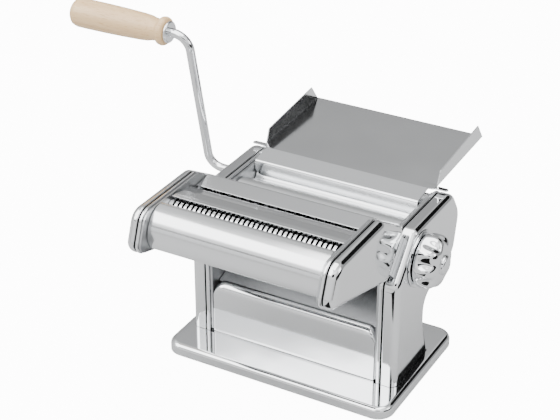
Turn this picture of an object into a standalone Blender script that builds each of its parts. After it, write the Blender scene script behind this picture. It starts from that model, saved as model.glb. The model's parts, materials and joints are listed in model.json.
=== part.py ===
"""Hand-cranked dough sheet roller with a clip-on double cutter, a feed tray and a table base.

Machine axes: X runs along the rollers (the thickness knob is at +X, the crank at -X), Y runs
from the cutter (front, -Y) to the feed tray (back, +Y), and Z is up from the table.
Everything is placed in machine coordinates under one root empty, which moves the middle of
the whole object to the world origin.
"""
import math

import bmesh
import bpy
from mathutils import Matrix, Vector

MM = 0.001
GAP = 0.3 * MM            # space left between pieces that touch
RUN = 0.35 * MM           # radial space round a turning shaft

# Base plate: a pressed steel pan standing on four rubber feet
BASE_MARGIN = 8.5 * MM    # how far the pan reaches past each cheek
BASE_DEPTH = 134 * MM
BASE_HEIGHT = 10 * MM
BASE_CORNER = 14 * MM
BASE_EDGE = 3.5 * MM
BASE_WALL = 1.2 * MM
FOOT_DROP = 1.5 * MM      # how far the rubber stands below the pan's rim
FOOT_RADIUS = 9 * MM
FOOT_INSET = 20 * MM
PANEL_BELOW = 56 * MM     # the front panel's top edge, below the rollers' axes

# Side cheeks of the machine
INNER_HALF = 75 * MM      # inner face of a frame plate, from the middle
FRAME_THICK = 2 * MM
CASING_DEPTH = 16.7 * MM  # from a casing's open rim to its outer face
CASING_WALL = 1.2 * MM
CASING_EDGE = 4 * MM
LEG_AHEAD = 25.9 * MM     # the leg's front edge, ahead of the front roller's surface
HEAD_BEND_BELOW = 10 * MM # where the head starts to lean back, below the rollers' axes
HEAD_ABOVE = 4 * MM       # the head's top, above the rollers' surfaces
HEAD_BEHIND = 6.3 * MM    # the head's back, behind the rear roller's surface
HEAD_SLOPE = math.radians(42)   # the head's front edge, from upright
FRAME_INSET = 2 * MM

# Smooth rollers
ROLLER_RADIUS = 21.5 * MM
ROLLER_NIP = 0.4 * MM     # gap between the rollers at the finest setting
ROLLER_Z = 113 * MM
FRONT_ROLLER_Y = 12.4 * MM
SHAFT_RADIUS = 6 * MM
NIP_TRAVEL = 2.4 * MM     # how far the front roller backs off
BLOCK_HALF = 9.5 * MM
GEAR_TEETH = 20
GEAR_THICK = 7 * MM
GEAR_ADDENDUM = 1.6 * MM
GEAR_DEDENDUM = 2.6 * MM

# Thickness knob
KNOB_RADIUS = 22.5 * MM
KNOB_LENGTH = 22 * MM
KNOB_AHEAD = 9 * MM       # the knob's axis lies ahead of the front roller's
KNOB_BELOW = 1.5 * MM     # and below it
KNOB_LOBES = 8
KNOB_LOBE_DEPTH = 1.6 * MM
KNOB_SHAFT_RADIUS = 4 * MM
DISC_RIM = 1 * MM         # how far the index disc shows round the knob
DISC_THICK = 1.6 * MM
INDEX_SWEEP = 240          # degrees from the finest setting to the widest
INDEX_PITCH_RADIUS = 16 * MM
PIN_RADIUS = 1.5 * MM

# Crank and grip
ROD_RADIUS = 3.8 * MM
CRANK_CLEAR = 36 * MM         # from a casing's outer face to the arm's middle
CRANK_RISE = 131 * MM
CRANK_LEAN = -29.3 * MM
CRANK_BEND = 13 * MM
ELBOW_BEND = 14 * MM
SOCKET_DEPTH = 14 * MM
GRIP_CLEAR = 18 * MM          # from the arm's middle to the grip's inner end
GRIP_LENGTH = 94 * MM
GRIP_RADIUS = 12.5 * MM
GRIP_NECK = 9.3 * MM
FERRULE_LENGTH = 3 * MM

# Feed tray
TRAY_SHEET = 1 * MM
TRAY_LIP_CLEAR = 0.63 * MM # from the rear roller's surface to the middle of the lip's sheet
TRAY_LIP_ANGLE = math.radians(141.42)
TRAY_ABOVE = 2.1 * MM      # the ledge, above the head's top
TRAY_LEDGE = 20 * MM
TRAY_LENGTH = 100.5 * MM
TRAY_RISE = 5.9 * MM       # how much higher the panel's far edge is than its near one
TRAY_SPREAD = 2 * MM       # how far each edge reaches out past the casing's rim
TRAY_WING = 15.5 * MM      # height of a wing at its far end
TRAY_WING_NEAR = 11.5 * MM
TRAY_TAB = 11 * MM

# Cutter unit
CUT_FRAME_THICK = 1.5 * MM
CUT_INSET = 0.5 * MM        # each side of the cutter, inside the machine's frame plates
CUT_CASING_DEPTH = 12 * MM
CUT_EDGE = 2.6 * MM
CUT_RADIUS = 8.4 * MM
CUT_GAP = 0.4 * MM
CUT_SHAFT = 3.5 * MM
CUT_TILT = math.radians(10.2)
NIP_AHEAD = 57.6 * MM       # the narrow nip, ahead of the cheek's lower back corner
NIP_ABOVE = 46.5 * MM
PAIR_ROOM = 5.6 * MM        # between the surfaces of the two pairs
CUT_GEAR_TEETH = 12
CUT_GEAR_ADDENDUM = 0.8 * MM
CUT_GEAR_DEDENDUM = 1.2 * MM
CUT_GEAR_THICK = 3 * MM
CUT_GEAR_STEP = 3.8 * MM    # the wide pair's gears stand this much further out
CUT_REAR_AHEAD = 5 * MM     # that corner, ahead of the bend in the machine's cheek
CUT_REAR_ABOVE = 7.5 * MM
CUT_TOP_ABOVE = 4.1 * MM    # the cheek's top, above the rollers' surfaces
CUT_FRONT_AHEAD = 12.9 * MM # the cheek's front corner, ahead of the front cover
COVER_BACK = 0.564 * MM     # the cover's axis, behind the foremost cutting roller's
COVER_BELOW = 9.723 * MM
COVER_CLEAR = 1.46 * MM     # from that roller's surface to the cover's outer face
SHEET = 1 * MM

LIFT = FOOT_DROP
ROLLER_SPAN = 2 * ROLLER_RADIUS + ROLLER_NIP
REAR_ROLLER_Y = FRONT_ROLLER_Y + ROLLER_SPAN
FRAME_OUTER = INNER_HALF + FRAME_THICK
CASING_INNER = FRAME_OUTER + GAP
CASING_OUTER = CASING_INNER + CASING_DEPTH
BASE_WIDTH = 2 * (CASING_OUTER + BASE_MARGIN)
LEG_FRONT_Y = FRONT_ROLLER_Y - ROLLER_RADIUS - LEG_AHEAD
HEAD_BEND_Z = ROLLER_Z - HEAD_BEND_BELOW
HEAD_TOP_Z = ROLLER_Z + ROLLER_RADIUS + HEAD_ABOVE
PANEL_TOP_Z = ROLLER_Z - PANEL_BELOW
DISC_RADIUS = KNOB_RADIUS + DISC_RIM
GEAR_INNER = CASING_INNER + 2 * MM
FRONT_AXIS = (0, FRONT_ROLLER_Y, ROLLER_Z + LIFT)
REAR_AXIS = (0, REAR_ROLLER_Y, ROLLER_Z + LIFT)
KNOB_AXIS = (0, FRONT_ROLLER_Y - KNOB_AHEAD, ROLLER_Z - KNOB_BELOW + LIFT)
CUT_INNER_HALF = INNER_HALF - CUT_INSET
CUT_FRAME_OUTER = CUT_INNER_HALF + CUT_FRAME_THICK
CUT_CASING_INNER = CUT_FRAME_OUTER + GAP
CUT_CASING_OUTER = CUT_CASING_INNER + CUT_CASING_DEPTH
CUT_REAR_Y = LEG_FRONT_Y - CUT_REAR_AHEAD
CUT_REAR_Z = HEAD_BEND_Z + CUT_REAR_ABOVE
NARROW_NIP = (CUT_REAR_Y - NIP_AHEAD, CUT_REAR_Z + NIP_ABOVE)
HALF_PAIR = CUT_RADIUS + CUT_GAP / 2
PAIR_SPACING = 2 * (CUT_RADIUS + HALF_PAIR) + PAIR_ROOM
CUT_TOP_Z = NARROW_NIP[1] + CUT_RADIUS + CUT_TOP_ABOVE
COVER_CENTRE = (NARROW_NIP[0] - HALF_PAIR * math.cos(CUT_TILT) + COVER_BACK,
                NARROW_NIP[1] + HALF_PAIR * math.sin(CUT_TILT) - COVER_BELOW)
COVER_RADIUS = math.hypot(COVER_BACK, COVER_BELOW) + CUT_RADIUS + COVER_CLEAR
CUT_FRONT_Y = COVER_CENTRE[0] - COVER_RADIUS - CUT_FRONT_AHEAD
KNOB_START = CASING_OUTER + GAP + DISC_THICK + GAP
KNOB_END = KNOB_START + KNOB_LENGTH
CRANK_STANDOFF = CASING_OUTER + CRANK_CLEAR
GRIP_START = CRANK_STANDOFF + GRIP_CLEAR
GRIP_END = GRIP_START + GRIP_LENGTH
TRAY_LIP_Y = REAR_ROLLER_Y + (ROLLER_RADIUS + TRAY_LIP_CLEAR) * math.cos(TRAY_LIP_ANGLE)
TRAY_LIP_Z = ROLLER_Z + (ROLLER_RADIUS + TRAY_LIP_CLEAR) * math.sin(TRAY_LIP_ANGLE)
TRAY_FOLD_Y = TRAY_LIP_Y + TRAY_LEDGE
TRAY_FOLD_Z = HEAD_TOP_Z + TRAY_ABOVE
TRAY_BACK_Y = TRAY_FOLD_Y + TRAY_LENGTH
TRAY_BACK_Z = TRAY_FOLD_Z + TRAY_RISE
TRAY_HALF = CASING_INNER + TRAY_SPREAD
SLOPE = Vector((0, math.sin(HEAD_SLOPE), math.cos(HEAD_SLOPE)))

ROOT_X = -(KNOB_END - GRIP_END) / 2

CHROME = ("chrome", (0.78, 0.79, 0.80), 0.08, 1.0)
STEEL = ("steel", (0.58, 0.59, 0.60), 0.3, 1.0)
WOOD = ("beech", (0.74, 0.60, 0.42), 0.55, 0.0)
RUBBER = ("rubber", (0.05, 0.05, 0.05), 0.8, 0.0)

ROUND = 24                # sides of a shaft or a hole


# ---------------------------------------------------------------- helpers

def clear_scene():
    for item in list(bpy.data.objects):
        bpy.data.objects.remove(item)


def collection(name):
    made = bpy.data.collections.new(name)
    bpy.context.scene.collection.children.link(made)
    return made


def material(finish):
    name, colour, roughness, metallic = finish
    made = bpy.data.materials.get(name) or bpy.data.materials.new(name)
    made.use_nodes = True
    shader = made.node_tree.nodes["Principled BSDF"]
    shader.inputs["Base Color"].default_value = (*colour, 1)
    shader.inputs["Roughness"].default_value = roughness
    shader.inputs["Metallic"].default_value = metallic
    made.diffuse_color = (*colour, 1)
    return made


def add_object(name, mesh, finish, parent, location=(0, 0, 0)):
    item = bpy.data.objects.new(name, mesh)
    PARTS.objects.link(item)
    mesh.materials.append(material(finish))
    item.parent = parent
    item.location = location
    return item


def add_empty(name, parent, location):
    item = bpy.data.objects.new(name, None)
    PARTS.objects.link(item)
    item.parent = parent
    item.location = location
    return item


def mesh_from(bm, name):
    bmesh.ops.recalc_face_normals(bm, faces=bm.faces)
    mesh = bpy.data.meshes.new(name)
    bm.to_mesh(mesh)
    bm.free()
    return mesh


def cutter_from(mesh, parent, location=(0, 0, 0)):
    item = bpy.data.objects.new("cut_" + mesh.name, mesh)
    CUTTERS.objects.link(item)
    item.parent = parent
    item.location = location
    item.hide_render = True
    item.display_type = "WIRE"
    return item


def cut(item, cutter):
    step = item.modifiers.new("cut", "BOOLEAN")
    step.object = cutter
    step.operation = "DIFFERENCE"
    step.solver = "EXACT"


def rounded(corners, step=math.radians(18)):
    """Turn corners (y, z, radius) into a closed outline whose corners are arcs."""
    points = []
    count = len(corners)
    for index, (y, z, radius) in enumerate(corners):
        here = Vector((y, z))
        before = Vector(corners[index - 1][:2]) - here
        after = Vector(corners[(index + 1) % count][:2]) - here
        if radius == 0:
            points.append((y, z))
            continue
        half = before.angle(after) / 2
        reach = min(radius / math.tan(half), 0.49 * before.length, 0.49 * after.length)
        size = reach * math.tan(half)
        middle = (before.normalized() + after.normalized()).normalized()
        centre = here + middle * (size / math.sin(half))
        start = here + before.normalized() * reach - centre
        sweep = math.pi - 2 * half
        turn = 1 if before.x * after.y - before.y * after.x < 0 else -1
        steps = max(1, round(sweep / step))
        for stage in range(steps + 1):
            angle = turn * sweep * stage / steps
            spun = Matrix.Rotation(angle, 2) @ start
            points.append((centre.x + spun.x, centre.y + spun.y))
    return points


def inset(points, distance):
    """Move every side of a closed outline inwards by the same distance."""
    area = sum(a[0] * b[1] - b[0] * a[1] for a, b in zip(points, points[1:] + points[:1]))
    sign = 1 if area > 0 else -1
    moved = []
    for index, here in enumerate(points):
        back = Vector(here) - Vector(points[index - 1])
        ahead = Vector(points[(index + 1) % len(points)]) - Vector(here)
        first = Vector((-back.y, back.x)).normalized() * sign
        second = Vector((-ahead.y, ahead.x)).normalized() * sign
        middle = (first + second) / (1 + first.dot(second))
        moved.append((here[0] + middle.x * distance, here[1] + middle.y * distance))
    return moved


def plate_mesh(name, points, x0, x1):
    """A flat outline in the YZ plane, given a thickness from x0 to x1."""
    bm = bmesh.new()
    face = bm.faces.new([bm.verts.new((x0, y, z)) for y, z in points])
    grown = bmesh.ops.extrude_face_region(bm, geom=[face])
    tips = [v for v in grown["geom"] if isinstance(v, bmesh.types.BMVert)]
    bmesh.ops.translate(bm, vec=(x1 - x0, 0, 0), verts=tips)
    return mesh_from(bm, name)


def pan_mesh(name, points, x_open, x_closed):
    """The same, left open at x_open, ready for a wall thickness."""
    bm = bmesh.new()
    face = bm.faces.new([bm.verts.new((x_open, y, z)) for y, z in points])
    grown = bmesh.ops.extrude_face_region(bm, geom=[face])
    tips = [v for v in grown["geom"] if isinstance(v, bmesh.types.BMVert)]
    bmesh.ops.translate(bm, vec=(x_closed - x_open, 0, 0), verts=tips)
    bmesh.ops.recalc_face_normals(bm, faces=bm.faces)
    far = [f for f in bm.faces if all(abs(v.co.x - x_open) < 1e-7 for v in f.verts)]
    bmesh.ops.delete(bm, geom=far, context="FACES_ONLY")
    mesh = bpy.data.meshes.new(name)
    bm.to_mesh(mesh)
    bm.free()
    return mesh


def soften_and_thicken(item, edge, wall):
    bevel = item.modifiers.new("edge", "BEVEL")
    bevel.width = edge
    bevel.segments = 2
    bevel.limit_method = "ANGLE"
    bevel.angle_limit = math.radians(50)
    thicken(item, wall, -1)


def thicken(item, wall, offset=0):
    solid = item.modifiers.new("wall", "SOLIDIFY")
    solid.thickness = wall
    solid.offset = offset
    solid.use_even_offset = True


def rod_mesh(name, radius, x0, x1, sides=ROUND, phase=0.0):
    """A round bar along X."""
    bm = bmesh.new()
    turn = Matrix.Rotation(math.pi / 2, 4, "Y") @ Matrix.Rotation(phase, 4, "Z")
    place = Matrix.Translation(((x0 + x1) / 2, 0, 0)) @ turn
    bmesh.ops.create_cone(bm, cap_ends=True, segments=sides, radius1=radius, radius2=radius,
                          depth=abs(x1 - x0), matrix=place)
    return mesh_from(bm, name)


def turned_mesh(name, profile, sides=ROUND):
    """A profile of (x, radius) points from end to end, turned about the X axis."""
    bm = bmesh.new()
    rings = []
    for x, radius in profile:
        angles = [2 * math.pi * k / sides for k in range(sides)]
        rings.append([bm.verts.new((x, radius * math.cos(a), radius * math.sin(a))) for a in angles])
    bm.faces.new(rings[0])
    bm.faces.new(rings[-1])
    for low, high in zip(rings, rings[1:]):
        for k in range(sides):
            j = (k + 1) % sides
            bm.faces.new((low[k], low[j], high[j], high[k]))
    return mesh_from(bm, name)


def sheet_mesh(name, profile, half):
    """A bent sheet: an open profile of (y, z) points carried along X from -half to half."""
    bm = bmesh.new()
    row = [bm.verts.new((-half, y, z)) for y, z in profile]
    edges = [bm.edges.new(pair) for pair in zip(row, row[1:])]
    grown = bmesh.ops.extrude_edge_only(bm, edges=edges)
    tips = [v for v in grown["geom"] if isinstance(v, bmesh.types.BMVert)]
    bmesh.ops.translate(bm, vec=(2 * half, 0, 0), verts=tips)
    return mesh_from(bm, name)


def arc(centre, radius, start, end, steps):
    """Points on an arc in the YZ plane; 0 degrees is +Y and 90 is up."""
    points = []
    for k in range(steps + 1):
        angle = math.radians(start + (end - start) * k / steps)
        points.append((centre[0] + radius * math.cos(angle), centre[1] + radius * math.sin(angle)))
    return points


def gear_points(teeth, pitch_radius, addendum, dedendum, phase):
    """Straight-flanked teeth, a little narrower than their gaps so a pair turns freely."""
    points = []
    step = 2 * math.pi / teeth
    for k in range(teeth):
        middle = phase + k * step
        for share, radius in ((-0.30, pitch_radius - dedendum), (-0.12, pitch_radius + addendum),
                              (0.12, pitch_radius + addendum), (0.30, pitch_radius - dedendum)):
            angle = middle + share * step
            points.append((radius * math.cos(angle), radius * math.sin(angle)))
    return points


def lifted(points):
    return [(y, z + LIFT) for y, z in points]


# ---------------------------------------------------------------- outlines

def head_corner_y():
    return LEG_FRONT_Y + (HEAD_TOP_Z - HEAD_BEND_Z) * math.tan(HEAD_SLOPE)


def casing_points():
    """The side cheek: a leg that widens into a head round both rollers."""
    back = REAR_ROLLER_Y + ROLLER_RADIUS + HEAD_BEHIND
    underside = ROLLER_Z - ROLLER_RADIUS
    waist = LEG_FRONT_Y + 55 * MM
    foot = BASE_HEIGHT + GAP
    corners = [
        (LEG_FRONT_Y, foot, 0),
        (waist + 11 * MM, foot, 0),
        (waist, BASE_HEIGHT + 32 * MM, 40 * MM),
        (waist, underside - 24.5 * MM, 12 * MM),
        (REAR_ROLLER_Y - 8 * MM, underside - 25.5 * MM, 22 * MM),
        (back - 8 * MM, underside - 11.5 * MM, 22 * MM),
        (back, ROLLER_Z + 3 * MM, 20 * MM),
        (back - 15 * MM, HEAD_TOP_Z, 14 * MM),
        (head_corner_y(), HEAD_TOP_Z, 6 * MM),
        (LEG_FRONT_Y, HEAD_BEND_Z, 14 * MM),
    ]
    return lifted(rounded(corners))


def cutter_points():
    """The cutter's cheek: flat top, steep front, and a back edge that follows the head."""
    rear_length = 36 * MM
    rear = (CUT_REAR_Y + rear_length * SLOPE.y, CUT_REAR_Z + rear_length * SLOPE.z)
    corners = [
        (CUT_REAR_Y, CUT_REAR_Z, 5 * MM),
        (rear[0], rear[1], 5 * MM),
        (rear[0] + 1 * MM, rear[1] + 11 * MM, 5 * MM),
        (CUT_REAR_Y - 11 * MM, CUT_TOP_Z, 9 * MM),
        (CUT_FRONT_Y + 12 * MM, CUT_TOP_Z, 14 * MM),
        (CUT_FRONT_Y, CUT_REAR_Z + 27 * MM, 9 * MM),
    ]
    return lifted(rounded(corners))


def cut_axis(along):
    """A point on the tilted line through the cutting rollers, measured forwards from the narrow nip."""
    y = NARROW_NIP[0] - along * math.cos(CUT_TILT)
    z = NARROW_NIP[1] + along * math.sin(CUT_TILT) + LIFT
    return y, z


# ---------------------------------------------------------------- base and frame

def make_base():
    bm = bmesh.new()
    bmesh.ops.create_cube(bm, size=1)
    bmesh.ops.scale(bm, vec=(BASE_WIDTH, BASE_DEPTH, BASE_HEIGHT), verts=bm.verts)
    upright = [e for e in bm.edges if abs(e.verts[0].co.z - e.verts[1].co.z) > BASE_HEIGHT / 2]
    bmesh.ops.bevel(bm, geom=upright, offset=BASE_CORNER, segments=5, profile=0.5, affect="EDGES")
    top = [e for e in bm.edges if all(v.co.z > BASE_HEIGHT * 0.49 for v in e.verts)]
    bmesh.ops.bevel(bm, geom=top, offset=BASE_EDGE, segments=3, profile=0.5, affect="EDGES")
    under = [f for f in bm.faces if all(v.co.z < -BASE_HEIGHT * 0.49 for v in f.verts)]
    bmesh.ops.delete(bm, geom=under, context="FACES_ONLY")
    mesh = bpy.data.meshes.new("base_plate")
    bm.to_mesh(mesh)
    bm.free()
    base = add_object("base_plate", mesh, CHROME, ROOT, (0, 0, LIFT + BASE_HEIGHT / 2))
    thicken(base, BASE_WALL, -1)


def make_feet():
    height = LIFT + BASE_HEIGHT - BASE_WALL - GAP
    for x_name, x in (("left", -1), ("right", 1)):
        for y_name, y in (("front", -1), ("back", 1)):
            bm = bmesh.new()
            bmesh.ops.create_cone(bm, cap_ends=True, segments=20, radius1=FOOT_RADIUS - 1 * MM,
                                  radius2=FOOT_RADIUS, depth=height)
            place = (x * (BASE_WIDTH / 2 - FOOT_INSET), y * (BASE_DEPTH / 2 - FOOT_INSET), height / 2)
            mesh = mesh_from(bm, "foot")
            add_object(f"foot_{y_name}_{x_name}", mesh, RUBBER, ROOT, place)


def make_casing(side_name, side):
    mesh = pan_mesh("casing", casing_points(), side * CASING_INNER, side * CASING_OUTER)
    casing = add_object(f"casing_{side_name}", mesh, CHROME, ROOT)
    soften_and_thicken(casing, CASING_EDGE, CASING_WALL)
    hole = KNOB_AXIS if side > 0 else REAR_AXIS
    radius = (KNOB_SHAFT_RADIUS if side > 0 else SHAFT_RADIUS) + RUN
    cutter = rod_mesh("shaft_hole", radius, side * (CASING_OUTER - 8 * MM), side * (CASING_OUTER + 8 * MM))
    cut(casing, cutter_from(cutter, ROOT, hole))


def block_slot_mesh(x0, x1):
    """The window in which a bearing block slides away from the rear roller."""
    low = -BLOCK_HALF - NIP_TRAVEL - GAP
    high = BLOCK_HALF + GAP
    tall = BLOCK_HALF + GAP
    return plate_mesh("block_slot", [(low, -tall), (high, -tall), (high, tall), (low, tall)], x0, x1)


def make_frame(side_name, side):
    points = inset(casing_points(), FRAME_INSET)
    mesh = plate_mesh("frame", points, side * INNER_HALF, side * FRAME_OUTER)
    frame = add_object(f"frame_{side_name}", mesh, STEEL, ROOT)
    reach = (side * (INNER_HALF - 5 * MM), side * (FRAME_OUTER + 5 * MM))
    bore = rod_mesh("bearing_hole", SHAFT_RADIUS + RUN, *reach)
    cut(frame, cutter_from(bore, ROOT, REAR_AXIS))
    cut(frame, cutter_from(block_slot_mesh(*reach), ROOT, FRONT_AXIS))


def make_rail(side_name, side):
    """A short bar on the head's sloping front edge, which the cutter's back edge rests on."""
    out = Vector((0, -SLOPE.z, SLOPE.y))
    bend = Vector((0, LEG_FRONT_Y, HEAD_BEND_Z + LIFT))
    seat = Vector((0, CUT_REAR_Y, CUT_REAR_Z + LIFT))
    room = (seat - bend).dot(out)
    start = bend + SLOPE * 9 * MM + out * GAP
    end = bend + SLOPE * 40 * MM + out * GAP
    rise = out * (room - 2 * GAP)
    points = [(p.y, p.z) for p in (start, end, end + rise, start + rise)]
    x_range = (side * (CASING_INNER + 1.5 * MM), side * (CASING_INNER + 7.5 * MM))
    mesh = plate_mesh("rail", points, *x_range)
    add_object(f"cutter_rail_{side_name}", mesh, STEEL, ROOT)


def make_tie_rods():
    places = {
        "tie_rod_front": (LEG_FRONT_Y + 12 * MM, BASE_HEIGHT + 16 * MM),
        "tie_rod_back": (LEG_FRONT_Y + 44 * MM, BASE_HEIGHT + 16 * MM),
        "tie_rod_head": (FRONT_ROLLER_Y - ROLLER_RADIUS - 8.5 * MM, ROLLER_Z - 6 * MM),
    }
    for name, (y, z) in places.items():
        mesh = rod_mesh(name, 4 * MM, -INNER_HALF + GAP, INNER_HALF - GAP, 16)
        add_object(name, mesh, STEEL, ROOT, (0, y, z + LIFT))


def make_front_panel():
    """The polished panel between the legs, rolled back along its top edge."""
    face = LEG_FRONT_Y + 2.5 * MM
    roll = 6 * MM
    profile = [(face, BASE_HEIGHT + GAP)]
    profile += arc((face + roll, PANEL_TOP_Z - roll), roll, 180, 70, 5)
    panel = add_object("front_panel", sheet_mesh("front_panel", lifted(profile), INNER_HALF - 2 * GAP),
                       CHROME, ROOT)
    thicken(panel, SHEET, 0)


def make_chute():
    """The slope under the rollers that brings the sheet out over the front panel."""
    start = (LEG_FRONT_Y + 12 * MM, PANEL_TOP_Z - 3 * MM)
    middle = (FRONT_ROLLER_Y + 10 * MM, PANEL_TOP_Z + 12 * MM)
    end = (REAR_ROLLER_Y + 14 * MM, ROLLER_Z - ROLLER_RADIUS - 7.5 * MM)
    chute = add_object("chute_plate", sheet_mesh("chute_plate", lifted([start, middle, end]),
                                                 INNER_HALF - 2 * GAP), STEEL, ROOT)
    thicken(chute, SHEET, 0)


def make_back_sheets():
    centre = (REAR_ROLLER_Y, ROLLER_Z)
    reach = ROLLER_RADIUS + 2.2 * MM
    profile = arc(centre, reach, 42, -48, 8)
    cover = add_object("back_cover", sheet_mesh("back_cover", lifted(profile), INNER_HALF - 2 * GAP),
                       CHROME, ROOT)
    thicken(cover, SHEET, 0)
    waist = LEG_FRONT_Y + 52 * MM
    profile = [(waist, BASE_HEIGHT + GAP + 0.2 * MM), (waist, PANEL_TOP_Z + 5 * MM)]
    panel = add_object("back_panel", sheet_mesh("back_panel", lifted(profile), INNER_HALF - 2 * GAP),
                       CHROME, ROOT)
    thicken(panel, SHEET, 0)


def make_scraper(name, axis_y, angle):
    """A spring strip that leans on the underside of a roller."""
    touch = ROLLER_RADIUS + GAP + 0.4 * MM
    turn = math.radians(angle)
    tip = Vector((axis_y + touch * math.cos(turn), ROLLER_Z + touch * math.sin(turn)))
    away = Vector((math.cos(turn), math.sin(turn)))
    tail = tip + away * 6 * MM + Vector((0, -3 * MM))
    mesh = sheet_mesh(name, lifted([tuple(tip), tuple(tail)]), INNER_HALF - 2 * GAP)
    strip = add_object(name, mesh, STEEL, ROOT)
    thicken(strip, 0.6 * MM, 0)


# ---------------------------------------------------------------- rollers and their drive

def make_smooth_rollers():
    half = INNER_HALF - 0.4 * MM
    stub = GEAR_INNER + GEAR_THICK + 1 * MM
    left_end = CASING_OUTER + 3 * MM
    shoulder = 1 * MM
    rear = [(-left_end, SHAFT_RADIUS), (-half, SHAFT_RADIUS), (-half, ROLLER_RADIUS - shoulder),
            (-half + shoulder, ROLLER_RADIUS), (half - shoulder, ROLLER_RADIUS),
            (half, ROLLER_RADIUS - shoulder), (half, SHAFT_RADIUS), (stub, SHAFT_RADIUS)]
    axis = add_empty("rear_roller_axis", ROOT, REAR_AXIS)
    roller = add_object("roller_rear", turned_mesh("roller_rear", rear, 32), CHROME, axis)
    socket = rod_mesh("crank_socket", ROD_RADIUS + RUN, -left_end - 5 * MM, -left_end + SOCKET_DEPTH, 16)
    cut(roller, cutter_from(socket, axis))
    front = [(-FRAME_OUTER - 4 * MM, SHAFT_RADIUS)] + rear[1:]
    front_axis = add_empty("front_roller_axis", ROOT, FRONT_AXIS)
    add_object("roller_front", turned_mesh("roller_front", front, 32), CHROME, front_axis)
    pitch = ROLLER_SPAN / 2
    for name, parent, phase in (("gear_rear", axis, 0.0), ("gear_front", front_axis, math.pi / GEAR_TEETH)):
        points = gear_points(GEAR_TEETH, pitch, GEAR_ADDENDUM, GEAR_DEDENDUM, phase)
        mesh = plate_mesh(name, points, GEAR_INNER, GEAR_INNER + GEAR_THICK)
        gear = add_object(name, mesh, STEEL, parent)
        bore = rod_mesh(name + "_bore", SHAFT_RADIUS + GAP, GEAR_INNER - 5 * MM, stub + 5 * MM)
        cut(gear, cutter_from(bore, parent))


def make_bearing_block(side_name, side):
    tall = BLOCK_HALF
    points = [(-tall, -tall), (tall, -tall), (tall, tall), (-tall, tall)]
    mesh = plate_mesh("block", points, side * INNER_HALF, side * (FRAME_OUTER + 1 * MM))
    block = add_object(f"bearing_block_{side_name}", mesh, STEEL, ROOT, FRONT_AXIS)
    reach = (side * (INNER_HALF - 5 * MM), side * (FRAME_OUTER + 6 * MM))
    bore = rod_mesh("block_bore", SHAFT_RADIUS + RUN, *reach)
    cut(block, cutter_from(bore, ROOT, FRONT_AXIS))


# ---------------------------------------------------------------- thickness knob

def lobed_ring(bm, x, radius, depth):
    """A ring of points whose radius dips between the finger lobes."""
    count = KNOB_LOBES * 6
    ring = []
    for k in range(count):
        angle = 2 * math.pi * k / count
        reach = radius - depth * (0.5 - 0.5 * math.cos(KNOB_LOBES * angle))
        ring.append(bm.verts.new((x, reach * math.cos(angle), reach * math.sin(angle))))
    return ring


def knob_mesh():
    stations = [(0.0, 0.90, 0.3), (0.10, 1.0, 0.8), (0.45, 1.0, 1.0), (0.75, 0.86, 0.9),
                (0.92, 0.64, 0.4), (1.0, 0.42, 0.0)]
    bm = bmesh.new()
    rings = []
    for share, size, lobe in stations:
        x = KNOB_START + share * KNOB_LENGTH
        rings.append(lobed_ring(bm, x, KNOB_RADIUS * size, KNOB_LOBE_DEPTH * lobe))
    bm.faces.new(rings[0])
    bm.faces.new(rings[-1])
    for low, high in zip(rings, rings[1:]):
        for k in range(len(low)):
            j = (k + 1) % len(low)
            bm.faces.new((low[k], low[j], high[j], high[k]))
    return mesh_from(bm, "knob")


def index_slot_mesh(x0, x1):
    """The curved slot the index pin travels in; the pin rests at its -Y end."""
    half = PIN_RADIUS + RUN
    spare = math.degrees(half / INDEX_PITCH_RADIUS)
    first = 180 - spare
    last = 180 + INDEX_SWEEP + spare
    outline = arc((0, 0), INDEX_PITCH_RADIUS + half, first, last, 24)
    outline += arc((0, 0), INDEX_PITCH_RADIUS - half, last, first, 24)
    return plate_mesh("index_slot", outline, x0, x1)


def make_knob():
    axis = add_empty("knob_axis", ROOT, KNOB_AXIS)
    knob = add_object("thickness_knob", knob_mesh(), CHROME, axis)
    bore_end = KNOB_START + 0.6 * KNOB_LENGTH
    bore = rod_mesh("knob_bore", KNOB_SHAFT_RADIUS + RUN, KNOB_START - 5 * MM, bore_end)
    cut(knob, cutter_from(bore, axis))
    inner = GEAR_INNER + GEAR_THICK + 2.5 * MM
    shaft = rod_mesh("knob_shaft", KNOB_SHAFT_RADIUS, inner, bore_end - 5 * MM)
    add_object("knob_shaft", shaft, STEEL, axis)
    disc_mesh = rod_mesh("index_disc", DISC_RADIUS, CASING_OUTER + GAP, CASING_OUTER + GAP + DISC_THICK, 32)
    disc = add_object("index_disc", disc_mesh, CHROME, axis)
    middle = rod_mesh("disc_bore", KNOB_SHAFT_RADIUS + RUN, CASING_OUTER - 3 * MM, KNOB_START + 3 * MM)
    cut(disc, cutter_from(middle, axis))
    cut(disc, cutter_from(index_slot_mesh(CASING_OUTER - 3 * MM, KNOB_START + 3 * MM), axis))
    pin = rod_mesh("index_pin", PIN_RADIUS, CASING_OUTER + GAP + 0.2 * MM, KNOB_START - GAP, 10)
    add_object("index_pin", pin, STEEL, axis, (0, -INDEX_PITCH_RADIUS, 0))


# ---------------------------------------------------------------- crank

def corner_arc(before, corner, after, radius, steps):
    """Points on the bend of a rod at a corner between two straight stretches."""
    back = (before - corner).normalized()
    ahead = (after - corner).normalized()
    half = back.angle(ahead) / 2
    reach = radius / math.tan(half)
    middle = (back + ahead).normalized()
    centre = corner + middle * (radius / math.sin(half))
    start = corner + back * reach - centre
    end = corner + ahead * reach - centre
    first = start.normalized()
    last = end.normalized()
    return [centre + first.slerp(last, k / steps) * radius for k in range(steps + 1)]


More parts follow.
